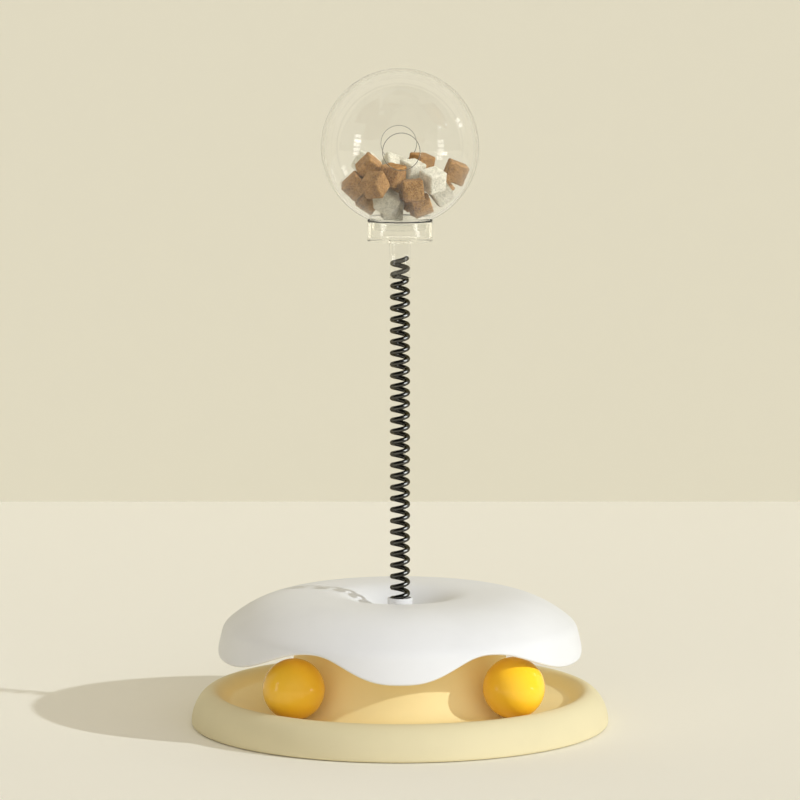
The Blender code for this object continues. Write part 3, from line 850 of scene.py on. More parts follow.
@dataclass
class TrackBase(Assembly):
    """Cream tray with its ball track and hollow hub, its ribs and its pads."""

    body: ClassVar[Body] = Body.BASE
    wall: float = 0.0024
    lift: float = 0.0003
    track_radius: float = 0.0900
    track_floor: float = 0.0136
    track_flat: float = 0.0100
    track_side: float = 0.0120
    rim_rise: float = 0.0069
    rim_spread: float = 0.0125
    rim_roundness: float = 1.8
    rim_tuck: float = 0.0018
    hub_sweep: float = 0.0140
    hub_draft: float = 0.0060
    hub_top: float = 0.0596
    hub_hole: float = 0.0053
    rib_count: int = 12
    rib_thickness: float = 0.0018
    foot_count: int = 6
    foot_radius: float = 0.0065
    foot_reveal: float = 0.0010
    foot_edge: float = 0.0004
    groove_shares: Point = (0.72, 0.44)
    groove_half: float = 0.05
    groove_depth: float = 0.00025
    groove_edge: float = 0.0001
    socket_depth: float = 0.0014
    socket_wall: float = 0.0016
    steps: int = 192
    foot_steps: int = 48
    socket_steps: int = 40
    tuck_steps: int = 5
    upper_steps: Steps = (28, 20, 28)
    under_steps: Steps = (18, 10, 14)
    rib_steps: Steps = (24, 8, 16)

    @property
    def crest_radius(self) -> float:
        """Radius of the rim's highest line."""
        return self.track_radius + self.track_flat + self.track_side

    @property
    def rim_top(self) -> float:
        """Height of the rim's highest line."""
        return self.track_floor + self.rim_rise

    @property
    def widest_height(self) -> float:
        """Height of the rim's widest line."""
        return self.lift + self.rim_tuck

    @property
    def socket_roof(self) -> float:
        """Height of the end of the pads' sockets."""
        return self.foot_reveal + self.socket_depth

    def rim_line(self, inset: float, count: int) -> list[Point]:
        """Outer curve of the rim, from its crest down to its widest line.

        Args:
            inset: How far inside the outer face the line runs.
            count: Steps along the curve.

        Returns:
            The points in order.
        """
        angle = np.linspace(0.0, np.pi / 2, count + 1)
        power = 2 / self.rim_roundness
        across = self.crest_radius + (self.rim_spread - inset) * np.sin(angle) ** power
        rise = self.rim_top - inset - self.widest_height
        up = self.widest_height + rise * np.clip(np.cos(angle), 0, 1) ** power
        return list(zip(across.tolist(), up.tolist()))

    def track_line(self, drop: float, count: int) -> list[Point]:
        """Track side from the flat floor up to the rim's crest.

        Args:
            drop: How far below the upper face the line runs.
            count: Steps along the curve.

        Returns:
            The points in order.
        """
        share = np.linspace(0.0, 1.0, count + 1)
        across = self.track_radius + self.track_flat + self.track_side * share
        up = self.track_floor + self.rim_rise * Section.ease(share) - drop
        return list(zip(across.tolist(), up.tolist()))

    def hub_line(self, inset: float, count: int) -> list[Point]:
        """Hub from its top down to the track floor.

        Args:
            inset: How far inside the outer face the line runs.
            count: Steps along the curve.

        Returns:
            The points in order.
        """
        foot = self.track_radius - self.track_flat
        bend = (foot - self.hub_sweep - inset, self.track_floor - inset)
        top = (bend[0] - self.hub_draft, self.hub_top - inset)
        return Section.bezier(top, bend, (foot, self.track_floor - inset), count)

    def outline(self) -> list[Point]:
        """Section of the tray, over its upper face to the rim and back underneath.

        Returns:
            The points in order, as a loop.
        """
        lip = self.crest_radius + self.rim_spread
        edge = [(lip, self.widest_height), (lip - self.rim_tuck, self.lift),
                (lip - self.rim_tuck - self.wall, self.lift)]
        tuck = Section.bezier(edge[0], (lip, self.lift), edge[1], self.tuck_steps)[1:]
        hub, track, rim = self.upper_steps
        upper = [(self.hub_hole, self.hub_top)] + self.hub_line(0, hub) + self.track_line(0, track)
        upper += self.rim_line(0, rim)[1:]
        hub, track, rim = self.under_steps
        under = self.rim_line(self.wall, rim)[::-1] + self.track_line(self.wall, track)[::-1][1:]
        under += self.hub_line(self.wall, hub)[::-1] + [(self.hub_hole, self.hub_top - self.wall)]
        return upper + tuck + edge[2:] + under

    def rib(self, bearing: float) -> bpy.types.Object:
        """One upright rib under the track, from the hub's foot to the rim.

        Args:
            bearing: Where it stands.

        Returns:
            The rib as a thin solid that follows the tray's underside.
        """
        half, low = self.wall / 2, self.socket_roof
        hub, track, rim = self.rib_steps
        top = [point for point in self.hub_line(half, hub) if point[1] < self.track_floor]
        top += self.track_line(half, track) + self.rim_line(half, rim)[1:]
        top = [point for point in top if point[1] > low]
        rows = []
        for across in (-self.rib_thickness / 2, self.rib_thickness / 2):
            face = [(across, -radius, height) for radius, height in top]
            rows.append(face + [(across, -radius, low) for radius, _ in reversed(top)])
        bm = bmesh.new()
        faces = [[bm.verts.new(point) for point in row] for row in rows]
        bm.faces.new(faces[0])
        bm.faces.new(faces[1][::-1])
        for i in range(len(faces[0])):
            k = (i + 1) % len(faces[0])
            bm.faces.new((faces[0][k], faces[0][i], faces[1][i], faces[1][k]))
        piece = Shape.piece("rib", bm)
        piece.matrix_basis = Matrix.Rotation(math.radians(bearing), 4, "Z")
        return piece

    def socket(self, bearing: float) -> bpy.types.Object:
        """Round boss under the track that takes a pad.

        Args:
            bearing: Where it stands.

        Returns:
            The boss.
        """
        heights = (self.track_floor - self.wall / 2, self.foot_reveal, self.socket_roof)
        piece = Shape.blind_boss("socket", self.foot_radius + FIT, self.socket_wall, heights,
                                 self.socket_steps)
        piece.matrix_basis = Matrix.Translation(bearing_point(bearing, self.track_radius))
        return piece

    def pad(self, number: int, bearing: float) -> bpy.types.Object:
        """Anti-slip pad with rounded edges and moulded rings on its foot.

        Args:
            number: Its number, from 1.
            bearing: Where it stands.

        Returns:
            The pad.
        """
        top = self.socket_roof - FIT
        corners = [(0, top, 0), (self.foot_radius, top, self.foot_edge),
                   (self.foot_radius, 0, self.foot_edge)]
        for share in self.groove_shares:
            out = self.foot_radius * (share + self.groove_half)
            into = self.foot_radius * (share - self.groove_half)
            corners += [(out, 0, self.groove_edge), (out, self.groove_depth, 0),
                        (into, self.groove_depth, 0), (into, 0, self.groove_edge)]
        corners.append((0, 0, 0))
        piece = Shape.turned(f"pad_{number}", Section.rounded(corners, loop=False), self.foot_steps)
        piece.location = bearing_point(bearing, self.track_radius)
        return piece

    def build(self) -> None:
        """Make the tray, its ribs and its pads."""
        tray = Shape.turned("tray", self.outline(), self.steps)
        self.dress(tray, CREAM, Slot.CREAM, "base_tray")
        below = [self.rib(bearing) for bearing in bearings(self.rib_count)]
        below += [self.socket(bearing) for bearing in bearings(self.foot_count)]
        self.dress(Shape.join("tray_ribs", below), CREAM, Slot.CREAM)
        for i, bearing in enumerate(bearings(self.foot_count), 1):
            self.dress(self.pad(i, bearing), RUBBER, Slot.RUBBER, f"foot_{i}")


@dataclass
class LobedCover(Assembly):
    """White shell with a dimple in the middle and lobes round its skirt, and its screws."""

    body: ClassVar[Body] = Body.BASE
    wall: float = 0.0022
    hole: float = 0.00775
    dimple_floor: float = 0.0644
    dimple_margin: float = 0.0030
    dimple_spread: float = 0.0409
    dimple_depth: float = 0.0137
    dimple_steepness: float = 4.0
    dome_rise: float = 0.0187
    dome_power: float = 2.6
    shoulder_radius: float = 0.1053
    shoulder_round: float = 0.0030
    arch_height: float = 0.0573
    arch_bearings: tuple[float, ...] = (29.0, 110.0, 180.0, 250.0, 331.0)
    lobe_drop: float = 0.0149
    lobe_fullness: float = 1.4
    skirt_flare: float = 0.245
    hub_top: float = TrackBase.hub_top
    hub_wall: float = TrackBase.wall
    screw_count: int = 3
    screw_radius: float = 0.0015
    screw_length: float = 0.0110
    head_radius: float = 0.0030
    head_height: float = 0.0020
    head_edge: float = 0.0009
    thread_edge: float = 0.0002
    root_edge: float = 0.0001
    tip_share: float = 0.5
    recess_length: float = 1.1
    recess_width: float = 0.28
    boss_wall: float = 0.0018
    columns: int = 360
    rows: int = 96
    wave_power: int = 3
    lip_steps: int = 7
    section_steps: Steps = (120, 160, 24)
    boss_steps: int = 32
    screw_steps: int = 40

    @property
    def crest_radius(self) -> float:
        """Radius of the shell's highest line, under which its screws stand."""
        return self.hole + self.dimple_margin + self.dimple_spread

    def section(self) -> np.ndarray:
        """Outer side of the shell from its hole to below the lowest lobe, closely spaced.

        Returns:
            Radius and height of each point.
        """
        in_dimple, in_dome, in_shoulder = self.section_steps
        crest = self.dimple_floor + self.dimple_depth
        share = np.linspace(0.0, 1.0, in_dimple)
        left = (1 - share) ** self.dimple_steepness * (1 + self.dimple_steepness * share)
        dimple = np.stack([self.hole + self.dimple_margin + self.dimple_spread * share,
                           crest - self.dimple_depth * left], axis=-1)
        width = self.shoulder_radius - self.crest_radius
        share = np.linspace(0.0, 1 - self.shoulder_round / width, in_dome)[1:]
        dome = np.stack([self.crest_radius + width * share,
                         crest - self.dome_rise * share**self.dome_power], axis=-1)
        corner = (self.shoulder_radius, crest - self.dome_rise)

        def skirt(drop: float) -> Point:
            """Point of the skirt below the shoulder's corner."""
            return (corner[0] + drop * self.skirt_flare, corner[1] - drop)

        shoulder = Section.bezier(tuple(dome[-1]), corner, skirt(self.shoulder_round), in_shoulder)[1:]
        return np.vstack([[(self.hole, self.dimple_floor)], dimple, dome, shoulder,
                          [skirt(2 * self.lobe_drop)]])

    def lobe_share(self, bearing: np.ndarray) -> np.ndarray:
        """Depth of the skirt at each bearing.

        Args:
            bearing: Bearings in degrees.

        Returns:
            0 at an arch and 1 in the middle of a lobe.
        """
        arches = np.array((*self.arch_bearings, self.arch_bearings[0] + 360.0))
        turn = (bearing - arches[0]) % 360.0 + arches[0]
        lobe = np.searchsorted(arches, turn, side="right") - 1
        share = (turn - arches[lobe]) / (arches[lobe + 1] - arches[lobe])
        return 1 - ((1 + np.cos(2 * np.pi * share)) / 2) ** self.lobe_fullness

    def shell(self) -> bpy.types.Object:
        """Closed shell whose every column ends at the wave of the lobes, with a round lip.

        Returns:
            The shell.
        """
        section = self.section()
        steps = np.linalg.norm(np.diff(section, axis=0), axis=1)
        along = np.concatenate([[0.0], np.cumsum(steps)])
        slope = np.gradient(section, along, axis=0)
        slope /= np.linalg.norm(slope, axis=1)[:, None]
        outside = section[:, 0] > self.crest_radius
        angle = np.linspace(0.0, 2 * np.pi, self.columns, endpoint=False)
        edge = self.arch_height - self.lobe_drop * self.lobe_share(np.degrees(angle))
        half = self.wall / 2
        lip = np.interp(-edge, -section[outside, 1], along[outside]) - half
        arch = lip.min()
        share = np.linspace(0.0, 1.0, self.rows)[:, None]
        reach = half + (arch - half) * share + (lip - arch) * share**self.wave_power

        def layer(at: np.ndarray, depth: float, push: float) -> np.ndarray:
            """Points of the section, moved off it.

            Args:
                at: Lengths along the section.
                depth: How far they are sunk.
                push: How far they are pushed along the section.

            Returns:
                Radius and height of each point.
            """
            spot = [np.interp(at, along, section[:, k]) for k in (0, 1)]
            way = [np.interp(at, along, slope[:, k]) for k in (0, 1)]
            return np.stack([spot[0] + depth * way[1] + push * way[0],
                             spot[1] - depth * way[0] + push * way[1]], axis=-1)

        turns = np.linspace(0.0, np.pi, self.lip_steps + 1)[1:-1]
        rim = [layer(reach[-1:], half - half * np.cos(a), half * np.sin(a)) for a in turns]
        mouth = [layer(reach[:1], half + half * np.cos(a), -half * np.sin(a)) for a in turns]
        loop = np.concatenate([layer(reach, 0.0, 0.0), *rim, layer(reach[::-1], self.wall, 0.0), *mouth])
        radius, height = loop[..., 0], loop[..., 1]
        rows = np.stack([radius * np.sin(angle), -radius * np.cos(angle), height], axis=-1)
        return Shape.from_rows("cover_shell", rows, loop_rows=True)

    def boss(self, bearing: float) -> bpy.types.Object:
        """Blind screw boss that hangs from the crest.

        Args:
            bearing: Where it hangs.

        Returns:
            The boss.
        """
        heights = (self.dimple_floor + self.dimple_depth - self.wall / 2, self.hub_top + FIT,
                   self.hub_top - self.hub_wall + self.screw_length + FIT)
        piece = Shape.blind_boss("boss", self.screw_radius + FIT, self.boss_wall, heights, self.boss_steps)
        piece.matrix_basis = Matrix.Translation(bearing_point(bearing, self.crest_radius))
        return piece

    def screw(self, number: int, bearing: float) -> bpy.types.Object:
        """Pan-head screw with a crossed recess.

        Args:
            number: Its number, from 1.
            bearing: Where it stands.

        Returns:
            The screw.
        """
        seat = self.hub_top - self.hub_wall - FIT
        low, tip = seat - self.head_height, seat + self.screw_length
        corners = [(0, tip, 0), (self.screw_radius * self.tip_share, tip, self.thread_edge),
                   (self.screw_radius, tip - self.screw_radius, self.thread_edge),
                   (self.screw_radius, seat, self.root_edge), (self.head_radius, seat, self.thread_edge),
                   (self.head_radius, low, self.head_edge), (0, low, 0)]
        piece = Shape.turned(f"cover_screw_head_{number}", Section.rounded(corners, loop=False),
                             self.screw_steps)
        for turn in (0.0, math.pi / 2):
            bm = bmesh.new()
            size = Matrix.Diagonal((self.head_radius * self.recess_length,
                                    self.head_radius * self.recess_width, self.head_height, 1))
            place = Matrix.Translation((0, 0, low)) @ Matrix.Rotation(turn, 4, "Z") @ size
            bmesh.ops.create_cube(bm, size=1.0, matrix=place)
            Shape.carve(piece, Shape.piece("recess", bm))
        piece.location = bearing_point(bearing, self.crest_radius)
        return piece

    def build(self) -> None:
        """Make the shell, its bosses and the screws."""
        self.dress(self.shell(), WHITE, Slot.WHITE, "cover")
        hung = [self.boss(bearing) for bearing in bearings(self.screw_count)]
        self.dress(Shape.join("cover_bosses", hung), WHITE, Slot.WHITE)
        for i, bearing in enumerate(bearings(self.screw_count), 1):
            self.dress(self.screw(i, bearing), STEEL, Slot.STEEL, f"cover_screw_{i}")


@dataclass
class CoilSpring(Assembly):
    """Wound spring in its collar, and the collar's flange under the cover."""

    body: ClassVar[Body] = Body.SPRING
    halves: ClassVar[tuple[str, str]] = ("spring_lower", "spring_upper")
    diameter: float = 0.0121
    wire: float = 0.0029
    turns: float = 30.73
    start_bearing: float = 172.0
    bend: float = 0.0018
    seat: float = 0.0679
    shoulder: float = 0.2802
    stem_bottom: float = 0.2666
    stem_bore: float = 0.0056
    collar_top: float = 0.0754
    collar_bore: float = 0.00635
    collar_radius: float = 0.00745
    flange_radius: float = 0.01305
    flange_top: float = 0.0619
    flange_bottom: float = 0.0599
    spigot_radius: float = 0.0050
    spigot_bottom: float = 0.0578
    bore_edge: float = 0.0003
    lip_edge: float = 0.0004
    spigot_edge: float = 0.0002
    points_per_turn: int = 28
    bend_points: int = 6
    tail_points: int = 4
    sides: int = 14
    collar_steps: int = 96

    def path(self) -> np.ndarray:
        """Centre line of the wire: an upright tail in the collar, then the turns up into the stem.

        Returns:
            The points in order.
        """
        wide = (self.diameter - self.wire) / 2
        narrow = self.stem_bore - FIT - self.wire / 2
        bottom = self.seat + FIT
        start, stop = bottom + self.wire + self.bend, self.shoulder - FIT - self.wire / 2
        curl = np.linspace(0.0, self.turns, round(self.turns * self.points_per_turn))
        angle = np.linspace(0.0, np.pi / 2, self.bend_points, endpoint=False)
        tail = np.linspace(0.0, 1.0, self.tail_points, endpoint=False)
        back = self.bend / (2 * np.pi * wide)
        turn = np.concatenate([np.full(self.tail_points, -back), -back * np.cos(angle) ** 2, curl])
        height = np.concatenate([bottom + self.wire * tail, bottom + self.wire + self.bend * np.sin(angle),
                                 start + (stop - start) * curl / self.turns])
        neck = (self.stem_bottom - start) / (stop - start) * self.turns
        radius = wide + (narrow - wide) * Section.ease(np.clip(turn - neck + 1.0, 0.0, 1.0))
        bearing = np.radians(self.start_bearing) + 2 * np.pi * turn
        return np.stack([radius * np.sin(bearing), -radius * np.cos(bearing), height], axis=-1)

    def collar(self) -> bpy.types.Object:
        """Collar with a rounded mouth, a flange and a spigot.

        Returns:
            The collar.
        """
        corners = [(0, self.seat, 0), (self.collar_bore, self.seat, self.bore_edge),
                   (self.collar_bore, self.collar_top, self.bore_edge),
                   (self.collar_radius, self.collar_top, self.lip_edge),
                   (self.collar_radius, self.flange_top, self.bore_edge),
                   (self.flange_radius, self.flange_top, self.lip_edge),
                   (self.flange_radius, self.flange_bottom, self.lip_edge),
                   (self.spigot_radius, self.flange_bottom, self.spigot_edge),
                   (self.spigot_radius, self.spigot_bottom, self.lip_edge), (0, self.spigot_bottom, 0)]
        return Shape.turned("spring_collar", Section.rounded(corners, loop=False), self.collar_steps)

    def build(self) -> None:
        """Make the collar and the two halves of the wire."""
        self.dress(self.collar(), WHITE, Slot.WHITE, "spring_socket", body=Body.BASE)
        path = self.path()
        middle = int(np.argmin(np.abs(path[:, 2] - (self.seat + self.shoulder) / 2)))
        parts = (path[:middle + 1], path[middle:])
        bends = ((Body.BASE, Body.SPRING, self.collar_top, path[middle, 2]),
                 (Body.SPRING, Body.HEAD, path[middle, 2], self.stem_bottom))
        for name, points, (low, high, start, end) in zip(self.halves, parts, bends):
            piece = Shape.tube(name, points, self.wire / 2, self.sides)
            piece.data.materials.append(WIRE.material())
            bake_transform(piece)
            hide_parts("spring")
            LOG.info("%s bends between %s and %s", name, low.value, high.value)


@dataclass
class TreatGlobe(Assembly):
    """Clear globe on its cup, seal ring and stem."""

    body: ClassVar[Body] = Body.HEAD
    clear_pieces: ClassVar[tuple[str, ...]] = ("globe_shell", "globe_neck", "globe_cup", "stem_tube")
    radius: float = 0.0466
    wall: float = 0.0018
    height: float = 0.3438
    hole_radius: float = 0.01065
    hole_edge: float = 0.00012
    hole_ring: float = 0.0003
    turn: float = 1.0
    neck_radius: float = 0.0171
    neck_bottom: float = 0.2957
    cap_radius: float = 0.0194
    cap_bore: float = 0.0174
    cap_bottom: float = 0.2883
    cap_top: float = 0.3000
    cap_floor: float = 0.0020
    seal_outer: float = 0.0192
    seal_inner: float = 0.0182
    stem_radius: float = 0.00625
    stem_step: float = 0.0005
    stem_bottom: float = CoilSpring.stem_bottom
    fine_edge: float = 0.0003
    cap_lip: float = 0.0004
    cap_root: float = 0.0006
    cap_foot: float = 0.0007
    stem_edge: float = 0.0002
    step_edge: float = 0.0001
    neck_gap: float = 0.00005
    shell_points: int = 97
    shell_steps: int = 160
    ring_points: int = 6
    ring_steps: int = 128
    stem_steps: int = 96

    def underside(self, radius: float, gap: float) -> float:
        """Height just below the globe at a radius near its foot."""
        return self.height - math.sqrt((self.radius + gap) ** 2 - radius**2)

    @property
    def across(self) -> Matrix:
        """Turn of a piece made round Z that lays it along the line through the treat holes."""
        turn = Matrix.Rotation(math.radians(self.turn), 4, "Z") @ Matrix.Rotation(math.pi / 2, 4, "X")
        return Matrix.Translation((0, 0, self.height)) @ turn

    def shell(self) -> bpy.types.Object:
        """Hollow globe turned about the line through its two treat holes.

        Returns:
            The globe.
        """
        inner = self.radius - self.wall
        hole = self.hole_radius + self.hole_ring
        gap_out, gap_in = (math.asin(hole / radius) for radius in (self.radius, inner))
        out = np.linspace(gap_out, np.pi - gap_out, self.shell_points)
        back = np.linspace(np.pi - gap_in, gap_in, self.shell_points)
        outline = list(zip(self.radius * np.sin(out), self.radius * np.cos(out)))
        outline += list(zip(inner * np.sin(back), inner * np.cos(back)))
        piece = Shape.turned("globe_shell", outline, self.shell_steps)
        piece.data.transform(self.across)
        return piece

    def hole_edges(self) -> bpy.types.Object:
        """Cut edges of both treat holes, rounded towards the hole.

        Returns:
            Both edges as one piece.
        """
        inner = self.radius - self.wall
        out = self.hole_radius + self.hole_ring
        rings = []
        for side in (-1, 1):
            corners = [(radius, side * math.sqrt(face**2 - radius**2), edge) for face, radius, edge in (
                (self.radius, out, 0.0), (self.radius, self.hole_radius, self.hole_edge),
                (inner, self.hole_radius, self.hole_edge), (inner, out, 0.0))]
            rings.append(Shape.turned("hole_edge", Section.rounded(corners, loop=True), self.ring_steps))
        piece = Shape.join("globe_hole_edges", rings)
        piece.data.transform(self.across)
        return piece

    def neck(self) -> bpy.types.Object:
        """Short ring under the globe that plugs into the cup.

        Returns:
            The ring.
        """
        inner = self.neck_radius - self.wall
        top = [(radius, self.underside(radius, self.neck_gap))
               for radius in np.linspace(inner, self.neck_radius, self.ring_points)]
        foot = Section.rounded([(self.neck_radius, self.neck_bottom, self.fine_edge),
                                (inner, self.neck_bottom, self.fine_edge)], loop=False)
        return Shape.turned("globe_neck", top + foot, self.ring_steps)

    def cup(self) -> bpy.types.Object:
        """Cup under the globe, with a hole in its floor for the stem.

        Returns:
            The cup.
        """
        hole = self.stem_radius - self.stem_step + FIT
        floor = self.cap_bottom + self.cap_floor
        corners = [(hole, floor, self.fine_edge), (self.cap_bore, floor, self.cap_root),
                   (self.cap_bore, self.cap_top, self.fine_edge),
                   (self.cap_radius, self.cap_top, self.cap_lip),
                   (self.cap_radius, self.cap_bottom, self.cap_foot),
                   (hole, self.cap_bottom, self.fine_edge)]
        return Shape.turned("globe_cup", Section.rounded(corners, loop=True), self.ring_steps)

    def seal(self) -> bpy.types.Object:
        """Wedge ring in the crevice between the cup and the globe.

        Returns:
            The ring.
        """
        bottom = self.cap_top + FIT
        top = [(radius, self.underside(radius, FIT))
               for radius in np.linspace(self.seal_inner, self.seal_outer, self.ring_points)]
        foot = [(self.seal_outer, bottom), (self.seal_inner, bottom)]
        return Shape.turned("seal_ring", top + foot, self.ring_steps)

    def stem(self) -> bpy.types.Object:
        """Clear stem whose lower end is cast round the spring.

        Returns:
            The stem.
        """
        neck = self.stem_radius - self.stem_step
        top, shoulder = self.cap_bottom + self.cap_floor, self.cap_bottom - FIT
        corners = [(0, top, 0), (neck, top, self.stem_edge), (neck, shoulder, self.step_edge),
                   (self.stem_radius, shoulder, self.step_edge),
                   (self.stem_radius, self.stem_bottom, self.fine_edge), (0, self.stem_bottom, 0)]
        return Shape.turned("stem_tube", Section.rounded(corners, loop=False), self.stem_steps)

    def build(self) -> None:
        """Make the globe, its cup, the seal and the stem."""
        self.dress(self.shell(), CLEAR, Slot.CLEAR, "treat_globe")
        # The hole edges wear painted shade: a flat dark colour for the dark refraction line round each
        # hole.
        self.dress(self.hole_edges(), PAINTED_EDGE_SHADE, Slot.CLEAR)
        self.dress(self.neck(), CLEAR_CUP, Slot.CLEAR)
        self.dress(self.cup(), CLEAR_CUP, Slot.CLEAR, "globe_cap")
        self.dress(self.seal(), SEAL, Slot.SEAL, "cap_seal")
        self.dress(self.stem(), CLEAR_CUP, Slot.CLEAR, "spring_stem")


@dataclass
class TreatHeap(Assembly):
    """Loose treats in the globe, each shaped from its packed cube.

    Attributes:
        nodes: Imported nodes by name.
        slots: Record slot of each node.
    """

    body: ClassVar[Body] = Body.HEAD
    nodes: dict[str, bpy.types.Object]
    slots: dict[str, str]
    face_cuts: int = 15
    long_edge: float = 0.0040
    wear: float = 0.0002
    lump_size: float = 0.0030
    lump_octaves: int = 3
    pit_size: float = 0.0015
    pit_reach: float = 0.42
    pit_depth: float = 0.0004
    softening: float = 0.05
    weld: float = 1e-6
    flat_angle: float = 0.02
    skew_angle: float = 3.2

    def crumble(self, place: Vector) -> float:
        """How deep the worn surface lies under the clean cube.

        Args:
            place: Point of the cube's surface.

        Returns:
            The depth in metres.
        """
        lumps = noise.fractal(place / self.lump_size, 1.0, 2.0, self.lump_octaves) * 0.5 + 0.5
        near = noise.voronoi(place / self.pit_size)[0][0]
        pit = max(0.0, self.pit_reach - near) / self.pit_reach
        return self.wear * min(1.0, max(0.0, lumps)) + self.pit_depth * pit

    def treat(self, name: str) -> bpy.types.Object:
        """Treat with worn edges and a pitted skin.

        Args:
            name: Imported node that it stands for.

        Returns:
            The treat.
        """
        bm = bmesh.new()
        bm.from_mesh(self.nodes[name].data)
        bmesh.ops.remove_doubles(bm, verts=bm.verts, dist=self.weld)
        bmesh.ops.join_triangles(bm, faces=bm.faces, angle_face_threshold=self.flat_angle,
                                 angle_shape_threshold=self.skew_angle)
        edges = [edge for edge in bm.edges if edge.calc_length() > self.long_edge]
        bmesh.ops.subdivide_edges(bm, edges=edges, cuts=self.face_cuts, use_grid_fill=True)
        bmesh.ops.smooth_vert(bm, verts=bm.verts, factor=self.softening, use_axis_x=True, use_axis_y=True,
                              use_axis_z=True)
        bm.normal_update()
        moves = [vertex.normal * -self.crumble(vertex.co) for vertex in bm.verts]
        for vertex, move in zip(bm.verts, moves):
            vertex.co += move
        return Shape.piece(f"{name}_crumb", bm)

    def build(self) -> None:
        """Make every treat."""
        treats = [name for name in self.nodes if name.startswith("treat_") and name != "treat_globe"]
        for name in sorted(treats):
            slot = Slot(self.slots[name])
            finish = BROWN_CRUMB if slot is Slot.BROWN_TREAT else WHITE_CRUMB
            self.dress(self.treat(name), finish, slot, name)


@dataclass
class TrackBalls(Assembly):
    """Two glossy balls on the track, each with a faint parting line."""

    body: ClassVar[Body] = Body.LEFT_BALL
    pieces: ClassVar[tuple[str, str]] = ("left_track_ball", "right_track_ball")
    radius: float = 0.0181
    seam_depth: float = 0.00006
    seam_width: float = 0.00035
    left_tilt: float = 64.0
    right_tilt: float = -112.0
    rings: int = 97
    steps: int = 96

    def ball(self, name: str, node: str, tilt: float) -> bpy.types.Object:
        """Ball with a fine groove round it.

        Args:
            name: Name of the piece.
            node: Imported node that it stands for.
            tilt: Lean of the parting line in degrees.

        Returns:
            The ball.
        """
        angle = np.linspace(0.0, np.pi, self.rings)
        far = (angle - np.pi / 2) * self.radius / self.seam_width
        size = self.radius - self.seam_depth * np.exp(-far**2)
        radius = np.where((angle > 0) & (angle < np.pi), size * np.sin(angle), 0.0)
        piece = Shape.turned(name, list(zip(radius, size * np.cos(angle))), self.steps)
        low, high = (Vector(corner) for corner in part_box(node))
        turn = Matrix.Rotation(math.radians(tilt), 4, "X")
        piece.data.transform(Matrix.Translation((low + high) / 2) @ turn)
        return piece

    def build(self) -> None:
        """Make both balls."""
        balls = zip(self.pieces, (Body.LEFT_BALL, Body.RIGHT_BALL), (self.left_tilt, self.right_tilt))
        for name, body, tilt in balls:
            node = body.value
            self.dress(self.ball(name, node, tilt), ORANGE, Slot.ORANGE, node, body=body)


@dataclass(frozen=True)
class Window:
    """A column of bright panes beside the toy.

    Attributes:
        name: Name of its lamps.
        bearing: Where it stands, in degrees from the front.
        low: Height of the middle of its lowest pane.
        panes: How many panes it has.
        radiance: How bright they are.
    """

    name: str
    bearing: float
    low: float
    panes: int
    radiance: float


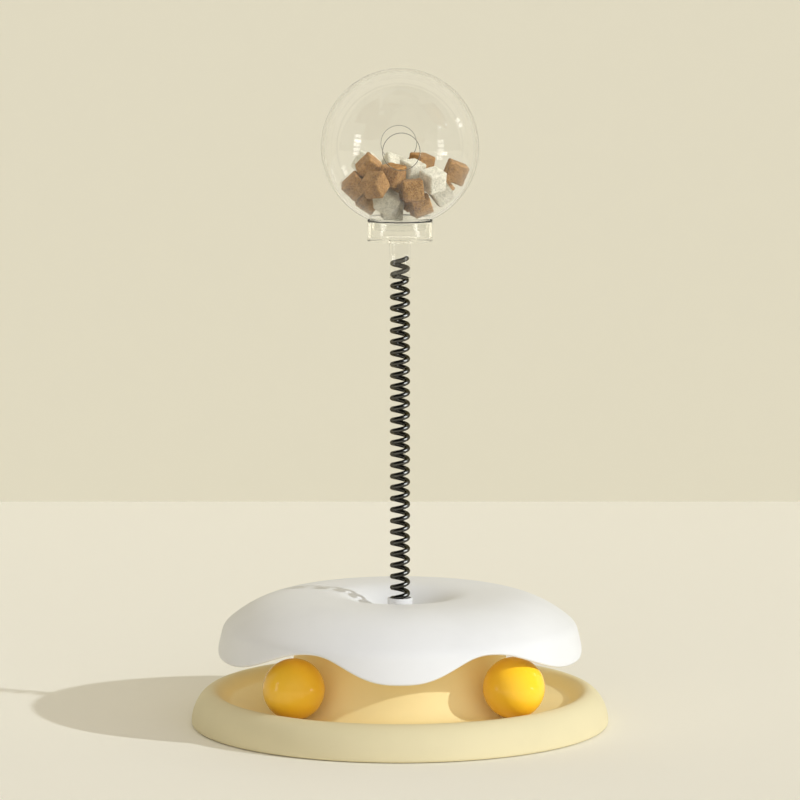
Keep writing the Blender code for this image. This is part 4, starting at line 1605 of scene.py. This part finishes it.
@dataclass
class Studio:
    """Plain pale floor and wall, soft light, and the camera."""

    wall_distance: float = 0.93
    cove: float = StudioPaint.turn_height
    cove_steps: int = 16
    reach: float = 6.0
    wall_height: float = 4.0
    key_direction: tuple[float, float, float] = (0.833, -0.342, 0.434)
    key_strength: float = 1.88
    key_angle: float = 1.0
    ball_strength: float = 1.8
    glint_strength: float = 3.9
    glint_angle: float = 46.0
    key_colour: Colour = (0.89, 0.94, 1.0)
    bounce_radius: float = 0.10
    bounce_height: float = 0.054
    bounce_power: float = 0.023
    bounce_colour: Colour = (1.0, 0.66, 0.20)
    sky_bearing: float = 9.0
    front_band: Point = (0.4, 0.9)
    top_band: Point = (0.45, 0.85)
    sky_front: Colour = (1.44, 1.44, 1.485)
    sky_side: Colour = (0.08, 0.08, 0.07)
    sky_top: Colour = (0.50, 0.45, 0.36)
    sky_seen: Colour = (0.76, 0.72, 0.56)
    sky_shine: Colour = (0.04, 0.04, 0.04)
    window_size: tuple[float, float] = (0.42, 0.16)
    window_gap: float = 0.05
    window_distance: float = 2.2
    windows: tuple[Window, ...] = (Window("left window", -66.6, 0.105, 5, 3.5),
                                   Window("right window", 68.0, 0.105, 1, 5.0),
                                   Window("rear window", 111.0, 1.05, 2, 2.5))
    camera_place: tuple[float, float, float] = (0.0, -2.482, 0.487)
    camera_pitch: float = 6.734
    focal_pixels: float = 4213.0
    frame_pixels: float = 800.0
    sensor_mm: float = 36.0
    view_reach: float = 50.0

    def stage(self) -> None:
        """Floor that sweeps up into a wall."""
        turn = np.linspace(0.0, np.pi / 2, self.cove_steps + 1)
        start = self.wall_distance - self.cove
        line = [(-self.reach, 0.0)]
        line += [(start + self.cove * math.sin(a), self.cove * (1 - math.cos(a))) for a in turn]
        line.append((self.wall_distance, self.wall_height))
        rows = np.array([[(x, y, z) for x in (self.reach, -self.reach)] for y, z in line])
        piece = Shape.from_rows("studio_sweep", rows, loop_columns=False)
        piece.data.flip_normals()
        piece.data.materials.append(PAINT.material())

    @staticmethod
    def hang(light: bpy.types.Light, place: Vector, aim: Vector) -> bpy.types.Object:
        """Lamp for a light.

        Args:
            light: What shines.
            place: Where it hangs.
            aim: Direction in which it shines.

        Returns:
            The lamp.
        """
        lamp = bpy.data.objects.new(light.name, light)
        lamp.location = place
        lamp.rotation_euler = aim.to_track_quat("-Z", "Y").to_euler()
        bpy.context.scene.collection.objects.link(lamp)
        return lamp

    @staticmethod
    def limit(lamp: bpy.types.Object, pieces: Sequence[str]) -> None:
        """Let a lamp light some pieces alone.

        Args:
            lamp: The lamp.
            pieces: Names of the pieces that it lights.
        """
        lit = bpy.data.collections.new(f"lit by {lamp.name}")
        for name in pieces:
            lit.objects.link(bpy.data.objects[name])
        lamp.light_linking.receiver_collection = lit

    def sun(self, name: str, strength: float, angle: float) -> bpy.types.Object:
        """Far lamp from the right.

        Args:
            name: Name of the lamp.
            strength: How strong it is.
            angle: How wide it looks, in degrees.

        Returns:
            The lamp.
        """
        light = bpy.data.lights.new(name, "SUN")
        light.energy = strength
        light.angle = math.radians(angle)
        light.color = self.key_colour
        return self.hang(light, Vector(), -Vector(self.key_direction))

    def key(self) -> None:
        """Main light, which glints on the wire alone and is stronger on the balls."""
        self.sun("key", self.key_strength, self.key_angle).visible_glossy = False
        extra = self.sun("ball key", self.ball_strength, self.key_angle)
        extra.visible_glossy = False
        self.limit(extra, TrackBalls.pieces)
        glint = self.sun("wire glint", self.glint_strength, self.glint_angle)
        glint.visible_diffuse = False
        self.limit(glint, CoilSpring.halves)

    def bounce(self) -> None:
        """Warm light that the track throws back and forth under the cover."""
        light = bpy.data.lights.new("cover bounce", "AREA")
        light.shape = "DISK"
        light.size = 2 * self.bounce_radius
        light.energy = self.bounce_power
        light.color = self.bounce_colour
        lamp = self.hang(light, Vector((0.0, 0.0, self.bounce_height)), Vector((0.0, 0.0, -1.0)))
        lamp.visible_camera = lamp.visible_glossy = lamp.visible_transmission = False
        self.limit(lamp, ("tray",) + TrackBalls.pieces)

    def window(self, window: Window) -> None:
        """Column of upright flat lamps like the panes of a window, seen only in reflections.

        Args:
            window: Where it stands and how it shines.
        """
        width, height = self.window_size
        away = bearing_point(window.bearing, self.window_distance)
        for i in range(window.panes):
            light = bpy.data.lights.new(window.name, "AREA")
            light.shape = "RECTANGLE"
            light.size, light.size_y = width, height
            light.energy = window.radiance * math.pi * width * height
            lift = Vector((0, 0, window.low + i * (height + self.window_gap)))
            lamp = self.hang(light, away + lift, -away)
            lamp.visible_diffuse = False
            self.limit(lamp, TreatGlobe.clear_pieces + TrackBalls.pieces)

    def sky(self) -> None:
        """Soft light all round, coloured by its side, with a plain pale backdrop behind the toy."""
        world = bpy.data.worlds.new("studio sky")
        graph = Graph(world)
        place = graph.node("ShaderNodeTexCoord", out="Generated")
        across, along, up = (graph.node("ShaderNodeSeparateXYZ", None, {0: place}, axis)
                             for axis in "XYZ")
        right, back, _ = bearing_point(self.sky_bearing, 1.0)
        forward = across * right + along * back
        colour = graph.mix(self.sky_side, self.sky_front, forward.ramp(*self.front_band))
        colour = graph.mix(colour, self.sky_top, up.ramp(*self.top_band))
        ray = {kind: graph.node("ShaderNodeLightPath", out=f"Is {kind} Ray")
               for kind in ("Camera", "Transmission", "Glossy")}
        colour = graph.mix(colour, self.sky_shine, ray["Glossy"])
        colour = graph.mix(colour, self.sky_seen, ray["Camera"] + ray["Transmission"])
        graph.show(graph.node("ShaderNodeBackground", None, {"Color": colour, "Strength": 1.0}),
                   "ShaderNodeOutputWorld")
        bpy.context.scene.world = world

    def camera(self) -> None:
        """Camera at the picture's place, with its long lens."""
        lens = bpy.data.cameras.new("camera")
        lens.sensor_width = self.sensor_mm
        lens.lens = self.focal_pixels * self.sensor_mm / self.frame_pixels
        lens.clip_end = self.view_reach
        camera = bpy.data.objects.new("camera", lens)
        camera.location = self.camera_place
        camera.rotation_euler = (math.radians(90 - self.camera_pitch), 0.0, 0.0)
        bpy.context.scene.collection.objects.link(camera)
        bpy.context.scene.camera = camera

    def build(self) -> None:
        """Set up the studio."""
        self.stage()
        self.key()
        self.bounce()
        for window in self.windows:
            self.window(window)
        self.sky()
        self.camera()
        bpy.context.scene.view_settings.view_transform = "Standard"


def main() -> None:
    """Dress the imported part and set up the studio."""
    logging.basicConfig(level=logging.INFO, format="%(name)s: %(message)s")
    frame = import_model()
    slots = {row["node"]: row["material_slot"] for row in frame["record"]["subparts"]}
    assemblies: list[Assembly] = [TrackBase(), LobedCover(), CoilSpring(), TreatGlobe(),
                                  TreatHeap(frame["nodes"], slots), TrackBalls()]
    for assembly in assemblies:
        assembly.build()
    Studio().build()


if __name__ == "__main__":
    main()
